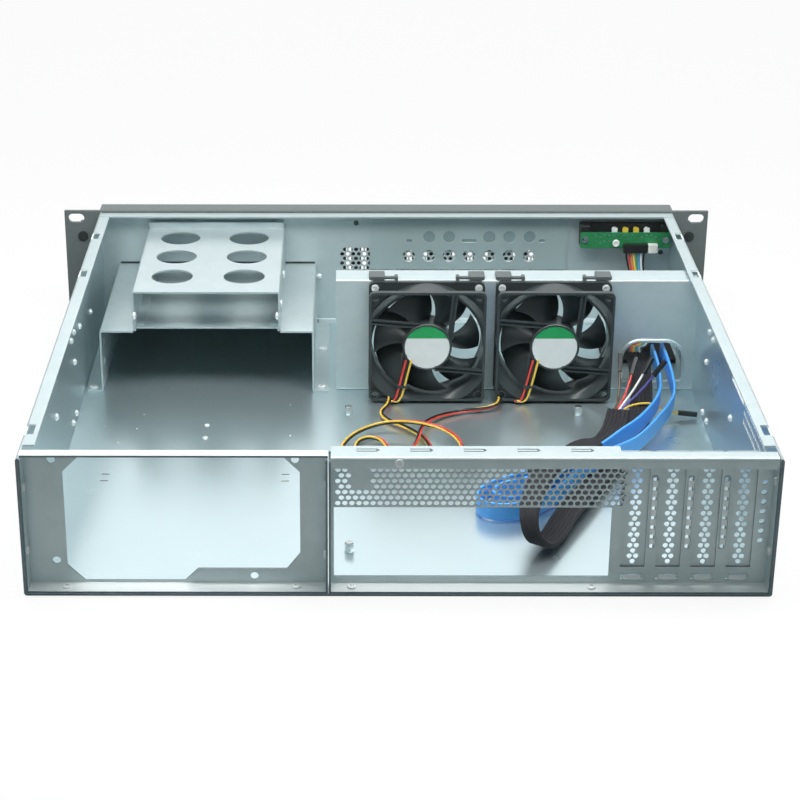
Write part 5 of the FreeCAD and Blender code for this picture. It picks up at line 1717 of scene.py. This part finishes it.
@dataclass
class Fasteners:
    """Screws of the rear pans and the posts that carry a mainboard."""
    post_share: float = 0.82
    post_foot: Pair = (0.92, 0.3)
    post_top: Pair = (0.85, 0.5)
    thread: Pair = (1.4, 2.0)
    thread_reach: Pair = (0.1, 0.12)

    def build(self) -> None:
        """Build the screw heads and the posts."""
        heads = Shape()
        pans = [node_box(name) for name in ("psu_rear_pan", "io_rear_pan")]
        for low, high in islands("pan_screws"):
            middle, size = (low + high) / 2, high - low
            if size.z == min(size):
                screw(heads, Vector((middle.x, middle.y, low.z)), UP, size.x / 2, size.z)
            elif size.y == min(size):
                screw(heads, Vector((middle.x, high.y, middle.z)), TO_REAR, size.x / 2, size.y)
            else:
                pan = next(box for box in pans if box[0].x <= middle.x <= box[1].x)
                inward = 1 if middle.x < (pan[0].x + pan[1].x) / 2 else -1
                seat = Vector((low.x if inward > 0 else high.x, middle.y, middle.z))
                screw(heads, seat, Vector((inward, 0, 0)), size.y / 2, size.x)
        heads.make("pan_screw_heads", [ZINC_AND_EDGE_HIGHLIGHT], SLOT_BRIGHT, ["pan_screws"])
        posts = Shape()
        bore, rim = self.thread
        for low, high in islands("board_standoffs"):
            middle, tall = (low + high) / 2, high.z - low.z
            seat = Vector((middle.x, middle.y, low.z))
            radius = (high.x - low.x) / 2 * self.post_share
            base, crest = tall - self.thread_reach[0], tall + self.thread_reach[1]
            (foot, heel), (top, shoulder) = self.post_foot, self.post_top
            hexagon = [(radius * foot, 0), (radius, heel), (radius, tall - shoulder), (radius * top, tall)]
            posts.turned(hexagon, seat, UP, sides=6)
            wall = [(bore, base), (bore, crest), (rim, crest), (rim, base)]
            posts.turned(wall, seat, UP, sides=20, hollow=True)
        posts.make("mainboard_posts", [BRIGHT_ZINC], SLOT_BRIGHT, ["board_standoffs"])


# Cables

class Rest(Enum):
    """How a flat cable lies: free, wide side down, or on its edge."""
    FREE = 0
    FLAT = 1
    EDGE = 2


# The share by which a flat cable eases towards its rest from one point to the next.
EASE = 0.10

Path = list[tuple[Vector, Vector, Vector]]


def spline_points(route: Sequence[Vector]) -> list[Vector]:
    """Points along the smooth line that has a route as its control points.

    Args:
        route: the control points.

    Returns:
        Points close together along the line.
    """
    curve = bpy.data.curves.new("route", "CURVE")
    curve.dimensions = "3D"
    curve.resolution_u = 10
    spline = curve.splines.new("NURBS")
    spline.points.add(len(route) - 1)
    for point, spot in zip(spline.points, route):
        point.co = (*spot, 1)
    spline.order_u = 3
    spline.use_endpoint_u = True
    holder = bpy.data.objects.new("route", curve)
    mesh = bpy.data.meshes.new_from_object(holder)
    line = [vertex.co.copy() for vertex in mesh.vertices]
    bpy.data.meshes.remove(mesh)
    bpy.data.curves.remove(curve)
    return line


def frames(line: Sequence[Vector], across: Vector, rest: Rest) -> Path:
    """Carry a section's axes along a line without twist, easing them towards how the cable lies.

    Args:
        line: the points.
        across: the wide axis at the start.
        rest: how the cable lies.

    Returns:
        For each point, itself, the wide axis and the thin axis.
    """
    found = []
    for place, spot in enumerate(line):
        ahead = (line[min(place + 1, len(line) - 1)] - line[max(place - 1, 0)]).normalized()
        across = across - ahead * across.dot(ahead)
        if rest is Rest.FLAT:
            across.z *= 1 - EASE
        elif rest is Rest.EDGE:
            across.z += math.copysign(EASE, across.z)
        across = (across - ahead * across.dot(ahead)).normalized()
        found.append((spot, across, ahead.cross(across)))
    return found


def sweep(shape: Shape, path: Path, section: Loop, twist: float = 0.0) -> None:
    """Run a section along a path.

    Args:
        shape: what takes it.
        path: points with their two axes.
        section: the section's loop.
        twist: the turn of the section from one point to the next, in radians.
    """
    rings = []
    for place, (spot, across, over) in enumerate(path):
        c, s = math.cos(twist * place), math.sin(twist * place)
        rings.append([spot + across * (u * c - v * s) + over * (u * s + v * c) for u, v in section])
    shape.loft(rings)


def ribbed(width: float, thick: float, ribs: int) -> Loop:
    """A flat section with round ribs on both sides.

    Args:
        width: its width.
        thick: its thickness over the ribs.
        ribs: how many there are.

    Returns:
        The loop.
    """
    steps, core, rise = ribs * 5, 0.62, 0.38
    upper = []
    for step in range(steps + 1):
        swell = core + rise * abs(math.sin(math.pi * step * ribs / steps))
        upper.append((-width / 2 + width * step / steps, thick / 2 * swell))
    return [*upper, *((u, -v) for u, v in reversed(upper))]


@dataclass(frozen=True)
class Cable:
    """One cable: its CAD node, route, length, section and how it lies."""
    node: str
    route: tuple[Triple, ...]
    length: float
    width: float
    slot: str
    far_end: str
    across: Triple = (0.0, 0.0, 1.0)
    rest: Rest = Rest.FREE
    stiffness: str = "medium"

    def path(self) -> Path:
        """The smooth path with its section's axes."""
        return frames(spline_points([Vector(spot) for spot in self.route]), Vector(self.across), self.rest)

    def finish(self, shape: Shape, finishes: Sequence[Finish], path: Path,
               pieces: Sequence[bpy.types.Object] = ()) -> None:
        """Args:
            shape: its mesh.
            finishes: its finishes.
            path: the path that it follows.
            pieces: what is on its far end.
        """
        item = shape.make(f"{self.node}_run", finishes, self.slot, [self.node])
        line = [to_row(spot) for spot, _, _ in path]
        list(pieces)

    def end_lay(self) -> Lay:
        """Axes at the far end: across, up, and on along the cable.

        Returns:
            Where a point on these axes lies in the part.
        """
        last, before = Vector(self.route[-1]), Vector(self.route[-2])
        aim = (last - before).normalized()
        side = aim.cross(UP).normalized()
        over = side.cross(aim).normalized()
        return lambda u, v, w: last + side * u + over * v + aim * w


LEAD_LEFT = Cable("fan_lead_left", (
    (0, 275.5, 5.5), (0, 265, 5.5), (-7, 254, 4.4), (-2, 241, 4), (12, 229, 4), (23, 212, 4), (27, 191, 4),
    (34, 179.5, 4.6), (45, 182, 6), (47, 195, 8), (38, 210, 10.4), (20, 221, 11.6), (-4, 226, 10),
    (-24, 217, 6), (-33, 199, 4.2), (-35, 182, 4)),
    252, 2.8, "lead_insulation", "plug", stiffness="limp")
LEAD_RIGHT = Cable("fan_lead_right", (
    (76.5, 275.5, 5.5), (76.5, 266, 5.5), (66, 260, 4.6), (51, 258, 4), (35, 250, 4), (25, 236, 5.8),
    (20, 219, 7.4), (18, 203, 7), (14, 190, 6), (4, 186, 5), (-3, 196, 4.6), (-6, 208, 4.4), (-14, 214, 4.2),
    (-22, 208, 4), (-24, 196, 4), (-25, 184, 4)),
    193, 2.8, "lead_insulation", "plug", stiffness="limp")
LOOM = Cable("panel_loom", (
    (176, 319, 21), (176, 301, 21), (175, 276, 13), (171, 246, 6.4), (160, 209, 5.4), (142, 168, 6),
    (127, 135, 8), (113, 105, 9), (103, 84, 8.5), (94, 62, 6.5), (86, 48, 8), (79, 44.5, 18), (78.5, 52, 28),
    (84, 78, 31), (92, 106, 29), (109, 134, 28), (125, 161, 23.5), (138.5, 186, 12), (147, 208, 10.5),
    (151.5, 227, 9), (155.5, 246, 8.5)),
    527, 13.0, "black_sleeve", "object", across=(1.0, 0.0, 0.0), rest=Rest.FLAT)
BLUE_OUTER = Cable("blue_cable_outer", (
    (193, 316, 26), (193, 299, 27), (195, 277, 21), (195, 255, 15), (187, 232, 14.5), (174, 205, 14.8),
    (158.5, 174, 16), (138, 154, 17.4), (118, 137, 16), (105, 118, 9), (85, 98, 8), (64, 91, 8), (50, 101, 8),
    (54, 119, 8), (68, 131, 8), (85, 141, 8)),
    350, 12.0, "blue_insulation", "plug", rest=Rest.EDGE)
BLUE_INNER = Cable("blue_cable_inner", (
    (186.5, 316, 24), (186.5, 299, 25), (187, 277, 20), (184.5, 253, 16), (175, 228, 16), (162, 202, 17),
    (149.5, 184, 18), (140.5, 171, 17.5), (127, 157, 15), (113, 141, 11), (100, 125, 8), (84, 107, 8),
    (69, 102, 8), (60, 111, 8), (66, 123, 8), (78, 129, 8), (90, 134, 8)),
    308, 12.0, "blue_insulation", "plug", rest=Rest.EDGE)
RIBBON = Cable("panel_ribbon", (
    (186, 421.5, 61.6), (186, 421.5, 53), (189.5, 417, 41), (195, 405, 26), (192, 380, 13), (184, 353, 13),
    (176, 335, 21), (176, 319, 21)),
    134, 10.0, "ribbon_insulation", "object", across=(1.0, 0.0, 0.0), rest=Rest.FLAT)
WIRES = tuple(
    Cable(f"wire_{colour}", route, length, 1.6, f"{colour}_insulation", "connector", across=(1.0, 0.0, 0.0),
          stiffness="limp")
    for colour, length, route in (
        ("brown", 35, ((152.65, 246.85, 8.5), (156, 255.5, 9), (158, 265.5, 15), (159, 275, 26))),
        ("red", 35, ((154.1, 246.55, 8.5), (157.8, 255.6, 9), (163, 264.5, 15), (167, 273, 24.5))),
        ("white", 36, ((155.55, 246.25, 8.5), (159, 255, 9.5), (167, 262, 16.5), (174, 268, 27))),
        ("purple", 37, ((157.05, 245.95, 8.5), (160.5, 254, 9.5), (171, 258, 17), (180, 260, 29))),
        ("yellow", 44, ((158.5, 246, 8.6), (161.6, 252.5, 9.9), (178.5, 253, 12.4), (185.5, 252, 7.8),
                        (191, 251, 6), (197, 251, 5.4)))))
RIBBON_COLOURS = ("black", "red", "orange", "yellow", "green", "sky", "white", "black")


@dataclass
class Cables:
    """Everything flexible in the case, with the plugs on it."""
    wire_radius: float = 0.7
    lead_spread: float = 0.86
    lead_twist: float = 0.045
    lead_turn: float = 0.5
    lead_colours: tuple[str, ...] = ("yellow", "red", "black")
    blue_thick: float = 2.0
    blue_round: float = 0.45
    loom_width: float = 15.0
    loom_thick: float = 4.0
    loom_ribs: int = 6
    housing: Pair = (2.9, 13.0)
    housing_mouth: float = 3.0
    housing_round: float = 0.35
    ribbon_fan: float = 0.55
    ribbon_close: float = 2.6
    ribbon_overlap: float = 0.52
    plug_half: Pair = (4.0, 2.5)
    plug_depths: Pair = (5.0, 11.0)
    plug_ways: Triple = (-2.4, 0.0, 2.4)
    plug_way: float = 0.6
    plug_ease: float = 0.5
    plug_keys: Pair = (-2.2, 2.2)
    plug_key: tuple[Triple, Triple] = ((-0.5, 2.3, 2.0), (0.5, 2.9, 10.5))
    flat_plug_half: Pair = (3.0, 6.5)
    flat_plug_depths: Pair = (4.5, 11.0)
    flat_plug_neck: Pair = (2.4, 6.2)
    flat_plug_mouth: Pair = (1.2, 5.2)
    flat_plug_ease: float = 0.6
    grip_half: Pair = (2.8, 5.0)
    grip_rows: tuple[Pair, ...] = ((0.7, 1.3), (1.9, 2.5), (3.1, 3.7))
    housing_way: float = 0.7
    housing_latch: tuple[Triple, Triple] = ((-0.6, -0.1, 3.0), (0.6, 0.22, 8.5))

    def build(self) -> None:
        """Build every cable from the fans to the panel wires."""
        for cable in (LEAD_LEFT, LEAD_RIGHT):
            self.lead(cable)
        path = LOOM.path()
        shape = Shape()
        sweep(shape, path, ribbed(self.loom_width, self.loom_thick, self.loom_ribs))
        LOOM.finish(shape, [SLEEVE], path)
        for cable in (BLUE_OUTER, BLUE_INNER):
            path, shape = cable.path(), Shape()
            half = (cable.width / 2, self.blue_thick / 2)
            section = rounded((-half[0], -half[1]), half, [self.blue_thick * self.blue_round], 4)
            sweep(shape, path, section)
            cable.finish(shape, [PVC["blue"]], path, [self.flat_plug(cable)])
        self.ribbon()
        for cable in WIRES:
            self.wire(cable)

    def lead(self, cable: Cable) -> None:
        """A fan's three wires, lightly laid together, and their plug.

        Args:
            cable: the lead.
        """
        path, shape = cable.path(), Shape()
        centres = ring((0, 0), self.lead_spread, len(self.lead_colours), self.lead_turn)
        for brush, offset in enumerate(centres):
            shape.brush = brush
            sweep(shape, path, ring(offset, self.wire_radius, sides=8), self.lead_twist)
        cable.finish(shape, [PVC[name] for name in self.lead_colours], path, [self.fan_plug(cable)])

    def fan_plug(self, cable: Cable) -> bpy.types.Object:
        """The white three-way plug of a fan lead.

        Args:
            cable: the lead that it ends.

        Returns:
            The piece.
        """
        lay, shape = cable.end_lay(), Shape()
        (x, y), (step, end) = self.plug_half, self.plug_depths
        half = self.plug_way
        ways = [rectangle(way - half, way + half, -half, half) for way in self.plug_ways]
        shape.plate(rounded((-x, -y), (x, y), [self.plug_ease]), ways, lay, step, end)
        shape.block((-x, -y, 0), (x, y, step), lay, self.plug_ease)
        for key in self.plug_keys:
            shape.block(*((key + across, up, on) for across, up, on in self.plug_key), lay, ease=0.15)
        return shape.make(f"{cable.node}_plug", [WHITE_NYLON], SLOT_WHITE, ["fan_plugs"])

    def flat_plug(self, cable: Cable) -> bpy.types.Object:
        """The black plug of a flat cable, with its grip ribs.

        Args:
            cable: the cable that it ends.

        Returns:
            The piece.
        """
        lay, shape = cable.end_lay(), Shape()
        (x, y), (step, end) = self.flat_plug_half, self.flat_plug_depths
        (neck, wide), (mouth, long) = self.flat_plug_neck, self.flat_plug_mouth
        shape.block((-neck, -wide, 0), (neck, wide, step), lay, ease=0.8)
        hole = rectangle(-mouth, mouth, -long, long)
        shape.plate(rounded((-x, -y), (x, y), [self.flat_plug_ease]), [hole], lay, step, end)
        neck, wide = self.grip_half
        for low, high in self.grip_rows:
            shape.block((-neck, -wide, low), (neck, wide, high), lay, ease=0.3)
        return shape.make(f"{cable.node}_plug", [BLACK_NYLON], SLOT_BLACK, ["cable_plugs"])

    def ribbon(self) -> None:
        """The flat row of coloured wires from the indicator board."""
        path, shape = RIBBON.path(), Shape()
        count = len(RIBBON_COLOURS)
        pitch = RIBBON.width / count
        for brush in range(count):
            shape.brush = brush
            offset = (brush - (count - 1) / 2) * pitch
            fanned = []
            for place, (spot, across, over) in enumerate(path):
                spread = self.ribbon_fan * max(0.0, 1 - place / len(path) * self.ribbon_close) ** 2
                fanned.append((spot + across * offset * (1 + spread), across, over))
            sweep(shape, fanned, ring((0, 0), pitch * self.ribbon_overlap, sides=8))
        RIBBON.finish(shape, [PVC[name] for name in RIBBON_COLOURS], path)

    def wire(self, cable: Cable) -> None:
        """One panel wire with the single-way housing on its end.

        Args:
            cable: the wire.
        """
        colour = cable.node.removeprefix("wire_")
        lay, body = cable.end_lay(), Shape()
        side, long = self.housing[0] / 2, self.housing[1]
        mouth = long - self.housing_mouth
        outline = rounded((-side, -side), (side, side), [self.housing_round])
        body.block((-side, -side, 0), (side, side, mouth), lay, self.housing_round)
        way = self.housing_way
        body.plate(outline, [rectangle(-way, way, -way, way)], lay, mouth, long)
        body.block(*((across, side + up, on) for across, up, on in self.housing_latch), lay)
        piece = body.make(f"housing_{colour}", [BLACK_NYLON], SLOT_BLACK, ["wire_housings"])
        path, shape = cable.path(), Shape()
        sweep(shape, path, ring((0, 0), cable.width / 2, sides=10))
        cable.finish(shape, [PVC[colour]], path, [piece])


# Camera, light and floor

@dataclass(frozen=True)
class SoftBox:
    """One area lamp: where it stands, the point that it faces, its size and its power."""
    name: str
    spot: Triple
    size: Pair
    watts: float
    aim: Triple = (0.0, 0.0, 0.0)

    def build(self) -> None:
        """Hang the lamp."""
        lamp = bpy.data.lights.new(self.name, "AREA")
        lamp.shape = "RECTANGLE"
        lamp.size, lamp.size_y = self.size
        lamp.energy = self.watts
        item = bpy.data.objects.new(self.name, lamp)
        item.location = self.spot
        item.rotation_euler = (Vector(self.aim) - Vector(self.spot)).to_track_quat("-Z", "Y").to_euler()
        bpy.context.scene.collection.objects.link(item)


SOFT_BOXES = (
    SoftBox("back_box", (0, 2.3, 1.5), (3.4, 1.6), 10.6),
    SoftBox("top_box", (0, -0.1, 2.2), (2.2, 1.8), 4.5),
    SoftBox("front_box", (0.2, -2.4, 1.7), (2.4, 1.2), 1.0),
    SoftBox("bench_box", (0, REAR_EDGE + 0.12, 0.52), (0.95, 0.2), 4.5, (0, REAR_EDGE + 0.27, 0)),
)


@dataclass
class Studio:
    """A white table under soft boxes, and the camera at the photograph's place."""
    camera_at: Triple = (-0.03029, -1.2905, 0.5775)
    camera_tilt: float = 0.422
    camera_roll: float = 0.003
    lens: float = 93.83
    film: float = 36.0
    shift: Pair = (0.0753, 0.03925)
    far: float = 50.0
    floor_reach: float = 6.0
    floor_glow: float = 0.9
    floor_seen: str = "#F6F7F7"
    floor_lit: str = "#A7ABAB"
    room_tint: str = "#F4F8FA"
    backdrop: str = "#FFFFFF"
    sky_way: Triple = (0.0, 0.5, 0.866)
    sky_facing: Pair = (-0.7, 0.9)
    sky_levels: Pair = (0.09, 0.63)

    def build(self) -> None:
        """Set the stage."""
        scene = bpy.context.scene
        scene.view_settings.view_transform = "Standard"
        lens = bpy.data.cameras.new("photograph")
        lens.lens, lens.sensor_width = self.lens, self.film
        lens.shift_x, lens.shift_y = self.shift
        lens.clip_end = self.far
        camera = bpy.data.objects.new("photograph", lens)
        camera.location = self.camera_at
        camera.rotation_euler = (math.pi / 2 - self.camera_tilt, 0, self.camera_roll)
        scene.collection.objects.link(camera)
        scene.camera = camera
        self.floor()
        self.sky()
        for box in SOFT_BOXES:
            box.build()

    def floor(self) -> None:
        """The pale table: white to the camera, with the object's shadow kept."""
        reach = self.floor_reach
        mesh = bpy.data.meshes.new("table")
        corners = [(x, y, CAD_LOW.z - MM) for x, y in rectangle(-reach, reach, -reach, reach)]
        mesh.from_pydata(corners, [], [(0, 1, 2, 3)])
        item = bpy.data.objects.new("table", mesh)
        bpy.context.scene.collection.objects.link(item)
        made = bpy.data.materials.new("white_table")
        made.use_nodes = True
        tree = made.node_tree
        tree.nodes.clear()
        seen = add_node(tree, "ShaderNodeLightPath").outputs["Is Camera Ray"]
        shades = {0: seen, MIX_FIRST: linear(self.floor_lit), MIX_SECOND: linear(self.floor_seen)}
        paint = add_node(tree, "ShaderNodeMix", shades, data_type="RGBA")
        diffuse = add_node(tree, "ShaderNodeBsdfDiffuse", {"Color": paint.outputs[MIX_RESULT]})
        glow = add_node(tree, "ShaderNodeEmission", {"Color": linear(self.backdrop), "Strength": 1.0})
        share = add_node(tree, "ShaderNodeMath", {0: seen, 1: self.floor_glow}, operation="MULTIPLY")
        mixed = add_node(tree, "ShaderNodeMixShader", {
            0: share.outputs[0], 1: diffuse.outputs[0], 2: glow.outputs[0]})
        add_node(tree, "ShaderNodeOutputMaterial", {"Surface": mixed.outputs[0]})
        mesh.materials.append(made)

    def sky(self) -> None:
        """A dim room that is brighter overhead and behind the object; white where the camera sees it."""
        world = bpy.data.worlds.new("studio_room")
        world.use_nodes = True
        bpy.context.scene.world = world
        tree = world.node_tree
        tree.nodes.clear()
        way = add_node(tree, "ShaderNodeTexCoord").outputs["Generated"]
        facing = add_node(tree, "ShaderNodeVectorMath", {0: way, 1: self.sky_way}, operation="DOT_PRODUCT")
        brightness = add_node(tree, "ShaderNodeMapRange", {
            "Value": facing.outputs["Value"], "From Min": self.sky_facing[0], "From Max": self.sky_facing[1],
            "To Min": self.sky_levels[0], "To Max": self.sky_levels[1]})
        room = add_node(tree, "ShaderNodeBackground", {
            "Color": linear(self.room_tint), "Strength": brightness.outputs["Result"]})
        white = add_node(tree, "ShaderNodeBackground", {"Color": linear(self.backdrop), "Strength": 1.0})
        seen = add_node(tree, "ShaderNodeLightPath").outputs["Is Camera Ray"]
        mixed = add_node(tree, "ShaderNodeMixShader", {0: seen, 1: room.outputs[0], 2: white.outputs[0]})
        add_node(tree, "ShaderNodeOutputWorld", {"Surface": mixed.outputs[0]})


def main() -> None:
    """Build the stage and every sub-assembly in order."""
    logging.basicConfig(level=logging.INFO, format="%(name)s: %(message)s")
    Studio().build()
    Cables().build()
    Tray().build()
    RearPans().build()
    Front().build()
    DriveBrackets().build()
    fans = [Fan("left"), Fan("right")]
    FanWall().build([fan.centre for fan in fans])
    for fan in fans:
        fan.build()
    rear_screws("fan_screws", "fan_screw_heads", ZINC_AND_EDGE_HIGHLIGHT)
    IndicatorBoard().build()
    Fasteners().build()


if __name__ == "__main__":
    main()
